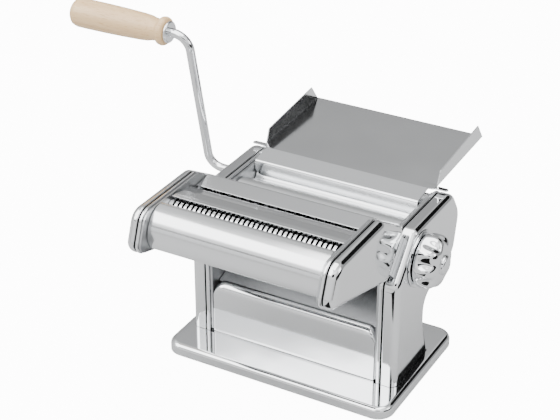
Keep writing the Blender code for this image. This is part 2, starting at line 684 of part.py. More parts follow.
def curve_to_mesh(name, points, radius, parent):
    """A round rod along a line of points, made a closed mesh."""
    curve = bpy.data.curves.new(name, "CURVE")
    curve.dimensions = "3D"
    curve.bevel_depth = radius
    curve.bevel_resolution = 3
    curve.use_fill_caps = True
    spline = curve.splines.new("POLY")
    spline.points.add(len(points) - 1)
    for spot, point in zip(spline.points, points):
        spot.co = (*point, 1)
    holder = bpy.data.objects.new(name + "_curve", curve)
    PARTS.objects.link(holder)
    bpy.context.view_layer.update()
    shape = holder.evaluated_get(bpy.context.evaluated_depsgraph_get())
    mesh = bpy.data.meshes.new_from_object(shape)
    bpy.data.objects.remove(holder)
    bm = bmesh.new()
    bm.from_mesh(mesh)
    bmesh.ops.remove_doubles(bm, verts=bm.verts, dist=1e-6)
    bmesh.ops.recalc_face_normals(bm, faces=bm.faces)
    bm.to_mesh(mesh)
    bm.free()
    mesh.name = name
    mesh.materials.clear()
    return add_object(name, mesh, CHROME, parent)


def make_crank():
    axis = add_empty("crank_axis", ROOT, REAR_AXIS)
    shaft_end = CASING_OUTER + 3 * MM
    start = Vector((-(shaft_end - SOCKET_DEPTH + GAP), 0, 0))
    low = Vector((-CRANK_STANDOFF, 0, 0))
    high = Vector((-CRANK_STANDOFF, CRANK_LEAN, CRANK_RISE))
    tip = Vector((-(GRIP_END - 8 * MM), CRANK_LEAN, CRANK_RISE))
    points = [start]
    points += corner_arc(start, low, high, CRANK_BEND, 6)
    points += corner_arc(low, high, tip, ELBOW_BEND, 6)
    points.append(tip)
    curve_to_mesh("crank_rod", points, ROD_RADIUS, axis)
    grip_axis = add_empty("grip_axis", axis, (0, CRANK_LEAN, CRANK_RISE))
    make_grip(grip_axis)


def make_grip(parent):
    """The wooden grip: a barrel, a neck groove and a collar, bored for the rod."""
    start = GRIP_START
    end = GRIP_END
    profile = [(-end, 5 * MM), (-end + 1.5 * MM, GRIP_RADIUS - 3 * MM), (-end + 6 * MM, GRIP_RADIUS),
               (-end + 40 * MM, GRIP_RADIUS - 0.2 * MM), (-start - 22 * MM, GRIP_RADIUS - 1 * MM),
               (-start - 14 * MM, GRIP_NECK + 0.8 * MM), (-start - 10 * MM, GRIP_NECK),
               (-start - 8 * MM, GRIP_NECK + 1.2 * MM), (-start - 6.5 * MM, GRIP_RADIUS - 0.6 * MM),
               (-start - 3 * MM, GRIP_RADIUS - 0.2 * MM),
               (-start - FERRULE_LENGTH / 2 - GAP, GRIP_RADIUS - 1.6 * MM)]
    grip = add_object("grip", turned_mesh("grip", profile, 24), WOOD, parent)
    bore = rod_mesh("grip_bore", ROD_RADIUS + RUN, -(end - 7 * MM), -start + 5 * MM, 16)
    cut(grip, cutter_from(bore, parent))
    ring = rod_mesh("grip_washer", GRIP_NECK, -start - FERRULE_LENGTH / 2, -start + FERRULE_LENGTH / 2)
    washer = add_object("grip_washer", ring, CHROME, parent)
    hole = rod_mesh("washer_bore", ROD_RADIUS + RUN, -start - 9 * MM, -start + 9 * MM, 16)
    cut(washer, cutter_from(hole, parent))


# ---------------------------------------------------------------- feed tray

def make_tray():
    """One folded sheet: a lip down to the rollers, a ledge, a long panel and two upright wings."""
    narrow = INNER_HALF - 2 * GAP
    shoulder = TRAY_FOLD_Y + 1 * MM
    slope = (TRAY_BACK_Z - TRAY_FOLD_Z) / (TRAY_BACK_Y - TRAY_FOLD_Y)
    level = TRAY_FOLD_Z + slope * (shoulder - TRAY_FOLD_Y)
    tab_end = shoulder + 6.5 * MM
    tab_level = TRAY_FOLD_Z + slope * (tab_end - TRAY_FOLD_Y)
    rows = [(TRAY_LIP_Y, TRAY_LIP_Z, narrow), (TRAY_LIP_Y, TRAY_FOLD_Z, narrow),
            (TRAY_FOLD_Y, TRAY_FOLD_Z, narrow), (shoulder, level, TRAY_HALF),
            (tab_end, tab_level, TRAY_HALF), (TRAY_BACK_Y, TRAY_BACK_Z, TRAY_HALF)]
    bm = bmesh.new()
    left = [bm.verts.new((-half, y, z + LIFT)) for y, z, half in rows]
    right = [bm.verts.new((half, y, z + LIFT)) for y, z, half in rows]
    for k in range(len(rows) - 1):
        bm.faces.new((left[k], right[k], right[k + 1], left[k + 1]))
    for side, edge in ((-1, left), (1, right)):
        near = bm.verts.new((side * TRAY_HALF, tab_end + 4.5 * MM, tab_level + TRAY_WING_NEAR + LIFT))
        far = bm.verts.new((side * TRAY_HALF, TRAY_BACK_Y - 12 * MM, TRAY_BACK_Z + TRAY_WING + LIFT))
        bm.faces.new((edge[4], edge[5], far, near))
        tab = [bm.verts.new((side * (TRAY_HALF + TRAY_TAB), y, level + LIFT))
               for y in (shoulder + 0.8 * MM, tab_end - 0.8 * MM)]
        bm.faces.new((edge[3], edge[4], tab[1], tab[0]))
    mesh = mesh_from(bm, "feed_tray")
    tray = add_object("feed_tray", mesh, CHROME, ROOT)
    thicken(tray, TRAY_SHEET, 0)


# ---------------------------------------------------------------- cutter unit

def make_cutter_cheek(side_name, side):
    outline = cutter_points()
    mesh = pan_mesh("cutter_casing", outline, side * CUT_CASING_INNER, side * CUT_CASING_OUTER)
    casing = add_object(f"cutter_casing_{side_name}", mesh, CHROME, CUTTER_ROOT)
    soften_and_thicken(casing, CUT_EDGE, CASING_WALL)
    frame_points = inset(outline, CASING_WALL)
    mesh = plate_mesh("cutter_frame", frame_points, side * CUT_INNER_HALF, side * CUT_FRAME_OUTER)
    frame = add_object(f"cutter_frame_{side_name}", mesh, STEEL, CUTTER_ROOT)
    reach = (side * (CUT_INNER_HALF - 5 * MM), side * (CUT_FRAME_OUTER + 5 * MM))
    for _, along in CUT_ROLLERS:
        hole = rod_mesh("cut_bearing", CUT_SHAFT + RUN, *reach, 16)
        y, z = cut_axis(along)
        cut(frame, cutter_from(hole, CUTTER_ROOT, (0, y, z)))
    if side < 0:
        for along in (CUT_ROLLERS[0][1], CUT_ROLLERS[2][1]):
            hole = rod_mesh("crank_port", CUT_SHAFT + 2 * MM, side * (CUT_CASING_OUTER - 8 * MM),
                            side * (CUT_CASING_OUTER + 8 * MM), 16)
            y, z = cut_axis(along)
            cut(casing, cutter_from(hole, CUTTER_ROOT, (0, y, z)))


def make_cutting_rollers():
    half = CUT_INNER_HALF - 0.4 * MM
    stub = CUT_CASING_INNER + 8.5 * MM
    for index, (name, along) in enumerate(CUT_ROLLERS):
        y, z = cut_axis(along)
        axis = add_empty(name + "_axis", CUTTER_ROOT, (0, y, z))
        profile = [(-stub, CUT_SHAFT), (-half, CUT_SHAFT), (-half, CUT_RADIUS), (half, CUT_RADIUS),
                   (half, CUT_SHAFT), (stub, CUT_SHAFT)]
        add_object(name, turned_mesh(name, profile, 20), STEEL, axis)
        tooth = math.pi / CUT_GEAR_TEETH if index % 2 else 0.0
        points = gear_points(CUT_GEAR_TEETH, CUT_RADIUS + CUT_GAP / 2, CUT_GEAR_ADDENDUM,
                             CUT_GEAR_DEDENDUM, math.pi - CUT_TILT + tooth)
        near = CUT_CASING_INNER + 1.5 * MM
        inner = near + (CUT_GEAR_STEP if index > 1 else 0)
        mesh = plate_mesh(name + "_gear", points, inner, inner + CUT_GEAR_THICK)
        gear = add_object(name.replace("roller", "gear"), mesh, STEEL, axis)
        bore = rod_mesh(name + "_gear_bore", CUT_SHAFT + GAP, near - 5 * MM, stub + 5 * MM, 16)
        cut(gear, cutter_from(bore, axis))


def make_cutter_covers():
    half = CUT_INNER_HALF - 2 * GAP
    front = arc(COVER_CENTRE, COVER_RADIUS, 67, 221, 12)
    sheet = add_object("cutter_front_cover", sheet_mesh("front_cover", lifted(front), half), CHROME,
                       CUTTER_ROOT)
    thicken(sheet, SHEET, -1)
    up = Vector((math.sin(CUT_TILT), math.cos(CUT_TILT)))
    fore = Vector((-math.cos(CUT_TILT), math.sin(CUT_TILT)))
    nip = Vector(NARROW_NIP)
    level = CUT_RADIUS + 1.4 * MM

    def spot(along, high):
        place = nip + fore * along + up * high
        return place.x, place.y

    middle = [spot(-4 * MM, level), spot(-PAIR_SPACING / 2, level + 2.5 * MM),
              spot(-PAIR_SPACING + 3 * MM, level - 0.3 * MM)]
    sheet = add_object("cutter_middle_guide", sheet_mesh("middle_guide", lifted(middle), half), CHROME,
                       CUTTER_ROOT)
    thicken(sheet, SHEET, 0)
    rear = [spot(-PAIR_SPACING - 2.5 * MM, level), spot(-PAIR_SPACING - 21 * MM, level + 5 * MM),
            spot(-PAIR_SPACING - 26 * MM, level - 1 * MM), spot(-PAIR_SPACING - 17 * MM, -16 * MM)]
    sheet = add_object("cutter_rear_guide", sheet_mesh("rear_guide", lifted(rear), half), CHROME,
                       CUTTER_ROOT)
    thicken(sheet, SHEET, 0)
    for name, along in (("narrow_scraper", 0.0), ("wide_scraper", -PAIR_SPACING)):
        strip = [spot(along - 6 * MM, -CUT_RADIUS - 4 * MM), spot(along, -CUT_RADIUS - 1.5 * MM),
                 spot(along + 6 * MM, -CUT_RADIUS - 4 * MM)]
        sheet = add_object(name, sheet_mesh(name, lifted(strip), half), STEEL, CUTTER_ROOT)
        thicken(sheet, 0.6 * MM, 0)
    for name, place in (("cutter_tie_rod_front", spot(12 * MM, -19 * MM)),
                        ("cutter_tie_rod_back", spot(-PAIR_SPACING - 12 * MM, -21 * MM))):
        mesh = rod_mesh(name, 3 * MM, -CUT_INNER_HALF + GAP, CUT_INNER_HALF - GAP, 12)
        add_object(name, mesh, STEEL, CUTTER_ROOT, (0, place[0], place[1] + LIFT))


# ---------------------------------------------------------------- assembly

clear_scene()
PARTS = collection("pasta_roller_machine")
CUTTERS = collection("cutters")
CUT_FOREMOST = min(y for y, _ in cutter_points())
ROOT_Y = -(TRAY_BACK_Y + CUT_FOREMOST) / 2
ROOT = add_empty("machine_origin", None, (ROOT_X, ROOT_Y, 0))
CUTTER_ROOT = add_empty("cutter_unit", ROOT, (0, 0, 0))
CUT_ROLLERS = (
    ("narrow_roller_front", HALF_PAIR),
    ("narrow_roller_back", -HALF_PAIR),
    ("wide_roller_front", HALF_PAIR - PAIR_SPACING),
    ("wide_roller_back", -HALF_PAIR - PAIR_SPACING),
)

make_base()
make_feet()
for NAME, SIDE in (("left", -1), ("right", 1)):
    make_casing(NAME, SIDE)
    make_frame(NAME, SIDE)
    make_rail(NAME, SIDE)
    make_bearing_block(NAME, SIDE)
    make_cutter_cheek(NAME, SIDE)
make_tie_rods()
make_front_panel()
make_chute()
make_back_sheets()
make_scraper("scraper_front", FRONT_ROLLER_Y, -125)
make_scraper("scraper_rear", REAR_ROLLER_Y, -60)
make_smooth_rollers()
make_knob()
make_crank()
make_tray()
make_cutting_rollers()
make_cutter_covers()
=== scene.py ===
"""Finish, fine surfaces and studio for a hand-cranked dough sheet roller.

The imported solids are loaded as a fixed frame. Each operator below builds one piece, or one group
of like pieces, as a parametric surface around that frame and gives it its finish.
Lengths are in metres unless a name ends in _MM.
"""
import json
import math

import bmesh
import bpy
import numpy as np
from mathutils import Euler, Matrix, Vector


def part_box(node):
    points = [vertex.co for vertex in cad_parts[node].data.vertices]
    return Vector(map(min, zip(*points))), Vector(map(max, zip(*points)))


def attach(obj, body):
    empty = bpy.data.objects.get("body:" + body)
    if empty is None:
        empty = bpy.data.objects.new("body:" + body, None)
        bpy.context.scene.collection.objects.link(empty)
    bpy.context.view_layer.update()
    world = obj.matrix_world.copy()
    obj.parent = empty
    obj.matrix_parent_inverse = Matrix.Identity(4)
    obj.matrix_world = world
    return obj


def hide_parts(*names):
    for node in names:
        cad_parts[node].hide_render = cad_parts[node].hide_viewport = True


bl_info = {
    "name": "Dough Sheet Roller",
    "version": (1, 0, 0),
    "blender": (4, 5, 0),
    "location": "View3D > Sidebar > Sheet Roller",
    "description": "Builds the visible surfaces, finishes and studio of a dough sheet roller",
    "category": "Object",
}

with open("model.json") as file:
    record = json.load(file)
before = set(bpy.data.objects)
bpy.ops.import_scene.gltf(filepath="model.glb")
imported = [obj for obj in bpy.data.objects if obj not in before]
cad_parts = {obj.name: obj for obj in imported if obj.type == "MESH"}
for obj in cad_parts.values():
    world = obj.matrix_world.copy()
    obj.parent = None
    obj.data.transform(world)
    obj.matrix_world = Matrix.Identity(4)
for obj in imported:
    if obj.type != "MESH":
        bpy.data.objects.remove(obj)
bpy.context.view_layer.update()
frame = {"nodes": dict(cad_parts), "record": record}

MM = 0.001
LIFT_MM = 1.5

BASE_LOW, BASE_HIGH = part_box("base_plate")
MIDDLE = Vector(((BASE_LOW.x + BASE_HIGH.x) / 2, (BASE_LOW.y + BASE_HIGH.y) / 2, 0))
BASE_TOP_MM = BASE_HIGH.z / MM - LIFT_MM
FRONT_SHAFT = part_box("roller_front")
REAR_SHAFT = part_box("roller_rear")


def machine_y(box):
    """Middle of a box along the machine, in millimetres from the middle of the base."""
    return ((box[0].y + box[1].y) / 2 - MIDDLE.y) / MM


def machine_z(box):
    """Middle height of a box, in millimetres above the underside of the pan."""
    return (box[0].z + box[1].z) / 2 / MM - LIFT_MM


ROLLER_Z_MM = machine_z(FRONT_SHAFT)
FRONT_Y_MM = machine_y(FRONT_SHAFT)
REAR_Y_MM = machine_y(REAR_SHAFT)
ROLLER_R_MM = (FRONT_SHAFT[1].z - FRONT_SHAFT[0].z) / 2 / MM
INNER_HALF_MM = 75.0
LEG_FRONT_MM = -35.0
HEAD_BEND_MM = 103.0
HEAD_TOP_MM = 138.5
HEAD_SLOPE = math.radians(42)
SEAM_DEPTH_MM = 1.8
CUT_TILT = math.radians(10.2)


# ---------------------------------------------------------------- settings

class RollerSizes(bpy.types.PropertyGroup):
    """Sizes of the visible surfaces."""

    seam: bpy.props.FloatProperty(
        name="Seam width", description="Width of the dark seam between a cheek's rim and its shell",
        default=0.0013, min=0.0003, max=0.003, unit="LENGTH")
    shell_round: bpy.props.FloatProperty(
        name="Shell rounding", description="How far a cheek's outer edge is rounded over",
        default=0.0058, min=0.001, max=0.008, unit="LENGTH")
    narrow_lands: bpy.props.IntProperty(
        name="Narrow rings", description="Rings on a narrow cutting roller", default=36, min=8, max=80)
    wide_lands: bpy.props.IntProperty(
        name="Wide rings", description="Rings on a wide cutting roller", default=18, min=4, max=60)
    groove: bpy.props.FloatProperty(
        name="Groove depth", description="Depth of the grooves in the cutting rollers",
        default=0.0018, min=0.0005, max=0.003, unit="LENGTH")
    lobes: bpy.props.IntProperty(
        name="Knob lobes", description="Finger lobes round the thickness knob", default=8, min=5, max=12)


class RollerFinish(bpy.types.PropertyGroup):
    """Colours of the finishes."""

    chrome: bpy.props.FloatVectorProperty(
        name="Chrome", description="Reflection colour of the polished plating",
        default=(0.83, 0.84, 0.85), subtype="COLOR", min=0, max=1)
    steel: bpy.props.FloatVectorProperty(
        name="Ground steel", description="Reflection colour of the inner steel",
        default=(0.50, 0.51, 0.52), subtype="COLOR", min=0, max=1)
    beech_light: bpy.props.FloatVectorProperty(
        name="Beech, light", description="Colour of the early wood",
        default=(0.93, 0.66, 0.36), subtype="COLOR", min=0, max=1)
    beech_dark: bpy.props.FloatVectorProperty(
        name="Beech, dark", description="Colour of the late wood and its flecks",
        default=(0.80, 0.52, 0.26), subtype="COLOR", min=0, max=1)
    rubber: bpy.props.FloatVectorProperty(
        name="Rubber", description="Colour of the feet", default=(0.03, 0.03, 0.032),
        subtype="COLOR", min=0, max=1)


# ---------------------------------------------------------------- shapes

def place(points_mm):
    """Machine millimetres to metres in the frame: scale, raise by the feet, move to the base's middle."""
    spots = np.asarray(points_mm, dtype=np.float64) * MM
    return spots + np.array((MIDDLE.x, MIDDLE.y, LIFT_MM * MM))


def grid_mesh(name, grid, wrap=False, cap_first=False, cap_last=False):
    """A grid of points (rows, columns, 3) as quads. With wrap the last column joins the first, and
    a cap closes the first or last row with one flat face."""
    rows, columns, _ = grid.shape
    index = np.arange(rows * columns).reshape(rows, columns)
    ahead = np.roll(index, -1, axis=1) if wrap else index[:, 1:]
    here = index if wrap else index[:, :-1]
    quads = np.stack((here[:-1], ahead[:-1], ahead[1:], here[1:]), axis=-1).reshape(-1, 4)
    faces = quads.tolist()
    if cap_first:
        faces.append(index[0].tolist())
    if cap_last:
        faces.append(index[-1][::-1].tolist())
    mesh = bpy.data.meshes.new(name)
    mesh.from_pydata(place(grid.reshape(-1, 3)).tolist(), [], faces)
    shape = bmesh.new()
    shape.from_mesh(mesh)
    bmesh.ops.remove_doubles(shape, verts=shape.verts, dist=2e-6)
    bmesh.ops.recalc_face_normals(shape, faces=shape.faces)
    shape.to_mesh(mesh)
    shape.free()
    mesh.shade_smooth()
    return mesh


def add_piece(name, mesh, finish, body, slot, *nodes):
    """Links a mesh, gives it a finish, rides it on a body and lets it stand for CAD nodes."""
    piece = bpy.data.objects.new(name, mesh)
    bpy.context.scene.collection.objects.link(piece)
    mesh.materials.append(finish)
    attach(piece, body)
    if nodes:
        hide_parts(*nodes)
    return piece


def darken_seam(mesh, near, far, finish):
    """Gives the faces between two distances from the middle, the seam's walls, their own finish: a
    near-black that is partly the unplated gap and partly painted shade.
    """
    mesh.materials.append(finish)
    count = len(mesh.polygons)
    centre = np.empty(count * 3)
    mesh.polygons.foreach_get("center", centre)
    x = np.abs(centre[0::3] - MIDDLE.x) / MM
    slack = 0.02
    index = ((x > near - slack) & (x < far + slack)).astype(np.int32)
    mesh.polygons.foreach_set("material_index", index)


def paint_groove_shade(mesh, y, z, radius, finish):
    """Gives the faces that lie below a roller's lands, the grooves, the near-black finish as painted
    shade, since the real steel grooves look dark only from what they reflect.
    """
    mesh.materials.append(finish)
    count = len(mesh.polygons)
    centre = np.empty(count * 3)
    mesh.polygons.foreach_get("center", centre)
    across = (centre[1::3] - MIDDLE.y) / MM - y
    rise = centre[2::3] / MM - LIFT_MM - z
    index = (np.hypot(across, rise) < radius - 0.5).astype(np.int32)
    mesh.polygons.foreach_set("material_index", index)


def sharpen(piece, degrees=35):
    """Keeps crisp edges crisp and lets broad faces set the shading."""
    piece.data.set_sharp_from_angle(angle=math.radians(degrees))
    weigh = piece.modifiers.new("broad faces", "WEIGHTED_NORMAL")
    weigh.keep_sharp = True


def sheet_metal(piece, wall=0.001, edge=0.00025):
    """Gives an open surface its wall and softly broken edges."""
    solid = piece.modifiers.new("wall", "SOLIDIFY")
    solid.thickness = wall
    solid.offset = 0
    bevel = piece.modifiers.new("edge", "BEVEL")
    bevel.width = edge
    bevel.segments = 2
    bevel.limit_method = "ANGLE"
    bevel.angle_limit = math.radians(45)
    weigh = piece.modifiers.new("broad faces", "WEIGHTED_NORMAL")
    weigh.keep_sharp = True


def rounded_path(corners, closed=True, turn_step=4.0, run_step=3.0):
    """Corners (y, z, radius) in millimetres as a path: each corner becomes an arc that is tangent
    to both of its sides, and straight runs get evenly spaced points."""
    corners = [np.array(c, dtype=float) for c in corners]
    count = len(corners)
    path = []
    for k, corner in enumerate(corners):
        if not closed and k in (0, count - 1):
            path.append(corner[None, :2])
            continue
        back = corners[k - 1][:2] - corner[:2]
        ahead = corners[(k + 1) % count][:2] - corner[:2]
        length_back, length_ahead = np.linalg.norm(back), np.linalg.norm(ahead)
        back, ahead = back / length_back, ahead / length_ahead
        half = math.acos(np.clip(back @ ahead, -1, 1)) / 2
        if corner[2] <= 0 or half > math.radians(89.5):
            path.append(corner[None, :2])
            continue
        reach = min(corner[2] / math.tan(half), 0.49 * length_back, 0.49 * length_ahead)
        radius = reach * math.tan(half)
        middle = (back + ahead) / np.linalg.norm(back + ahead)
        centre = corner[:2] + middle * radius / math.sin(half)
        first = corner[:2] + back * reach - centre
        sweep = math.pi - 2 * half
        turn = -1.0 if back[0] * ahead[1] - back[1] * ahead[0] > 0 else 1.0
        steps = max(2, round(math.degrees(sweep) / turn_step))
        angle = turn * sweep * np.linspace(0, 1, steps + 1)
        spun = np.stack((first[0] * np.cos(angle) - first[1] * np.sin(angle),
                         first[0] * np.sin(angle) + first[1] * np.cos(angle)), axis=1)
        path.append(centre + spun)
    points = np.concatenate(path)
    if closed:
        points = np.concatenate((points, points[:1]))
    filled = [points[:1]]
    for start, end in zip(points[:-1], points[1:]):
        pieces = max(1, int(np.linalg.norm(end - start) / run_step))
        share = np.linspace(0, 1, pieces + 1)[1:, None]
        filled.append(start + (end - start) * share)
    points = np.concatenate(filled)
    return points[:-1] if closed else points


def inward(points):
    """For each point of a closed outline, the move that insets both of its sides by one millimetre."""
    area = np.sum(points[:, 0] * np.roll(points[:, 1], -1) - np.roll(points[:, 0], -1) * points[:, 1])
    back = points - np.roll(points, 1, axis=0)
    ahead = np.roll(points, -1, axis=0) - points
    back /= np.linalg.norm(back, axis=1, keepdims=True)
    ahead /= np.linalg.norm(ahead, axis=1, keepdims=True)
    sign = math.copysign(1.0, area)
    first = np.stack((-back[:, 1], back[:, 0]), axis=1) * sign
    second = np.stack((-ahead[:, 1], ahead[:, 0]), axis=1) * sign
    return (first + second) / (1 + np.sum(first * second, axis=1, keepdims=True))


def quarter(start, end, bulge_first, steps=9):
    """A quarter ellipse between two profile points (x, inset). With bulge_first x moves first."""
    angle = np.linspace(0, math.pi / 2, steps)
    fast, slow = np.sin(angle), 1 - np.cos(angle)
    share = (fast, slow) if bulge_first else (slow, fast)
    return np.stack((start[0] + (end[0] - start[0]) * share[0],
                     start[1] + (end[1] - start[1]) * share[1]), axis=1)


def pressed_shell(name, outline, profile, side, floor=None):
    """A pressed cheek: the outline is inset by each profile point's second value and set at its
    first value along X, and both ends are capped. Where floor is given the foot isn't inset."""
    move = inward(outline)
    rows = outline[None] + move[None] * profile[:, 1][:, None, None]
    if floor is not None:
        rows[:, outline[:, 1] < floor + 0.01, 1] = floor
    depth = np.broadcast_to(profile[:, 0][:, None, None] * side, rows.shape[:2] + (1,))
    return grid_mesh(name, np.concatenate((depth, rows), axis=2), True, True, True)


def turned(name, profile, sides, y, z, ripple=None):
    """A profile of (x, radius) turned about the X axis at (y, z). ripple(x, radius, angle) may
    change the radius round the turn."""
    angle = 2 * math.pi * np.arange(sides) / sides
    x = np.broadcast_to(profile[:, :1], (len(profile), sides))
    radius = np.broadcast_to(profile[:, 1:2], x.shape)
    if ripple is not None:
        radius = ripple(x, radius, angle[None])
    grid = np.stack((x, y + radius * np.cos(angle), z + radius * np.sin(angle)), axis=2)
    return grid_mesh(name, grid, True, True, True)


def bent_sheet(path, half, columns=2):
    """A path of (y, z) points carried straight along X."""
    across = np.linspace(-half, half, columns)
    x = np.broadcast_to(across[None], (len(path), columns))
    y = np.broadcast_to(path[:, :1], x.shape)
    z = np.broadcast_to(path[:, 1:2], x.shape)
    return np.stack((x, y, z), axis=2)


def arc_path(centre, radius, start, end, steps):
    """Points on an arc; 0 degrees is towards the back and 90 is up."""
    angle = np.radians(np.linspace(start, end, steps))
    return np.stack((centre[0] + radius * np.cos(angle), centre[1] + radius * np.sin(angle)), axis=1)


def smoothed_profile(knots, steps=6, corner=1.0):
    """A profile through knots whose corners are rounded to the given radius, in millimetres."""
    corners = [(x, r, corner) for x, r in knots]
    return rounded_path(corners, closed=False, turn_step=90 / steps, run_step=6.0)


# ---------------------------------------------------------------- finishes

def new_group(name, inputs, outputs):
    """An empty shader node group with named sockets: (name, socket type, default)."""
    group = bpy.data.node_groups.new(name, "ShaderNodeTree")
    for label, kind, default in inputs:
        socket = group.interface.new_socket(label, in_out="INPUT", socket_type=kind)
        if default is not None:
            socket.default_value = default
    for label, kind in outputs:
        group.interface.new_socket(label, in_out="OUTPUT", socket_type=kind)
    return group, group.nodes.new("NodeGroupInput"), group.nodes.new("NodeGroupOutput")


def smear_group():
    """Handled metal: a roughness that drifts over a hand's width, with fine hairlines in it."""
    inputs = (("Scale", "NodeSocketFloat", 18.0), ("Low", "NodeSocketFloat", 0.05),
              ("High", "NodeSocketFloat", 0.12), ("Hairlines", "NodeSocketFloat", 0.02))
    group, entry, leave = new_group("handled metal", inputs, (("Roughness", "NodeSocketFloat"),))
    nodes, links = group.nodes, group.links
    where = nodes.new("ShaderNodeTexCoord")
    drift = nodes.new("ShaderNodeTexNoise")
    drift.inputs["Detail"].default_value = 4
    links.new(where.outputs["Object"], drift.inputs["Vector"])
    links.new(entry.outputs["Scale"], drift.inputs["Scale"])
    stretch = nodes.new("ShaderNodeMapping")
    stretch.inputs["Scale"].default_value = (60, 2400, 2400)
    stretch.inputs["Rotation"].default_value = (0.2, 0.1, 0.3)
    links.new(where.outputs["Object"], stretch.inputs["Vector"])
    hair = nodes.new("ShaderNodeTexNoise")
    hair.inputs["Scale"].default_value = 1
    hair.inputs["Detail"].default_value = 2
    links.new(stretch.outputs["Vector"], hair.inputs["Vector"])
    spread = nodes.new("ShaderNodeMapRange")
    spread.inputs["From Min"].default_value = 0.35
    spread.inputs["From Max"].default_value = 0.7
    links.new(drift.outputs["Fac"], spread.inputs["Value"])
    links.new(entry.outputs["Low"], spread.inputs["To Min"])
    links.new(entry.outputs["High"], spread.inputs["To Max"])
    add = nodes.new("ShaderNodeMath")
    add.operation = "MULTIPLY_ADD"
    links.new(hair.outputs["Fac"], add.inputs[0])
    links.new(entry.outputs["Hairlines"], add.inputs[1])
    links.new(spread.outputs["Result"], add.inputs[2])
    links.new(add.outputs["Value"], leave.inputs["Roughness"])
    return group


def wave_group():
    """Pressed sheet: a height that rolls gently, so long reflections waver a little."""
    inputs = (("Scale", "NodeSocketFloat", 22.0), ("Amount", "NodeSocketFloat", 0.5))
    group, entry, leave = new_group("pressed sheet", inputs, (("Height", "NodeSocketFloat"),))
    nodes, links = group.nodes, group.links
    where = nodes.new("ShaderNodeTexCoord")
    roll = nodes.new("ShaderNodeTexNoise")
    roll.inputs["Detail"].default_value = 1
    links.new(where.outputs["Object"], roll.inputs["Vector"])
    links.new(entry.outputs["Scale"], roll.inputs["Scale"])
    scale = nodes.new("ShaderNodeMath")
    scale.operation = "MULTIPLY"
    links.new(roll.outputs["Fac"], scale.inputs[0])
    links.new(entry.outputs["Amount"], scale.inputs[1])
    links.new(scale.outputs["Value"], leave.inputs["Height"])
    return group


def new_finish(name, colour, metallic, roughness):
    finish = bpy.data.materials.new(name)
    finish.use_nodes = True
    shader = finish.node_tree.nodes["Principled BSDF"]
    shader.inputs["Base Color"].default_value = (*colour, 1)
    shader.inputs["Metallic"].default_value = metallic
    shader.inputs["Roughness"].default_value = roughness
    return finish, finish.node_tree.nodes, finish.node_tree.links, shader


def plated(name, colour, low, high, wave, hairlines=0.02):
    """Metal with the handled-metal roughness and the pressed-sheet waver."""
    finish, nodes, links, shader = new_finish(name, colour, 1.0, low)
    smear = nodes.new("ShaderNodeGroup")
    smear.node_tree = GROUPS["smear"]
    smear.inputs["Low"].default_value = low
    smear.inputs["High"].default_value = high
    smear.inputs["Hairlines"].default_value = hairlines
    links.new(smear.outputs["Roughness"], shader.inputs["Roughness"])
    roll = nodes.new("ShaderNodeGroup")
    roll.node_tree = GROUPS["wave"]
    roll.inputs["Amount"].default_value = wave
    bump = nodes.new("ShaderNodeBump")
    bump.inputs["Strength"].default_value = 0.5
    bump.inputs["Distance"].default_value = 0.0006
    links.new(roll.outputs["Height"], bump.inputs["Height"])
    links.new(bump.outputs["Normal"], shader.inputs["Normal"])
    return finish


def beech(light, dark):
    """Turned beech: growth rings stretched along the grip, short dark flecks, satin lacquer."""
    finish, nodes, links, shader = new_finish("beech", light, 0.0, 0.42)
    where = nodes.new("ShaderNodeTexCoord")
    along = nodes.new("ShaderNodeMapping")
    along.inputs["Scale"].default_value = (9, 110, 110)
    links.new(where.outputs["Object"], along.inputs["Vector"])
    rings = nodes.new("ShaderNodeTexNoise")
    rings.inputs["Scale"].default_value = 1.2
    rings.inputs["Detail"].default_value = 6
    rings.inputs["Distortion"].default_value = 0.6
    links.new(along.outputs["Vector"], rings.inputs["Vector"])
    fine = nodes.new("ShaderNodeMapping")
    fine.inputs["Scale"].default_value = (150, 1500, 1500)
    links.new(where.outputs["Object"], fine.inputs["Vector"])
    flecks = nodes.new("ShaderNodeTexNoise")
    flecks.inputs["Scale"].default_value = 1
    flecks.inputs["Detail"].default_value = 2
    links.new(fine.outputs["Vector"], flecks.inputs["Vector"])
    tone = nodes.new("ShaderNodeValToRGB")
    tone.color_ramp.elements[0].position = 0.30
    tone.color_ramp.elements[0].color = (*dark, 1)
    tone.color_ramp.elements[1].position = 0.62
    tone.color_ramp.elements[1].color = (*light, 1)
    links.new(rings.outputs["Fac"], tone.inputs["Fac"])
    speck = nodes.new("ShaderNodeValToRGB")
    speck.color_ramp.elements[0].position = 0.30
    speck.color_ramp.elements[0].color = (0.80, 0.72, 0.62, 1)
    speck.color_ramp.elements[1].position = 0.46
    speck.color_ramp.elements[1].color = (1, 1, 1, 1)
    links.new(flecks.outputs["Fac"], speck.inputs["Fac"])
    blend = nodes.new("ShaderNodeMix")
    blend.data_type = "RGBA"
    blend.blend_type = "MULTIPLY"
    blend.inputs["Factor"].default_value = 1.0
    links.new(tone.outputs["Color"], blend.inputs["A"])
    links.new(speck.outputs["Color"], blend.inputs["B"])
    links.new(blend.outputs["Result"], shader.inputs["Base Color"])
    bump = nodes.new("ShaderNodeBump")
    bump.inputs["Strength"].default_value = 0.25
    bump.inputs["Distance"].default_value = 0.0002
    links.new(flecks.outputs["Fac"], bump.inputs["Height"])
    links.new(bump.outputs["Normal"], shader.inputs["Normal"])
    shader.inputs["Coat Weight"].default_value = 0.25
    shader.inputs["Coat Roughness"].default_value = 0.25
    return finish


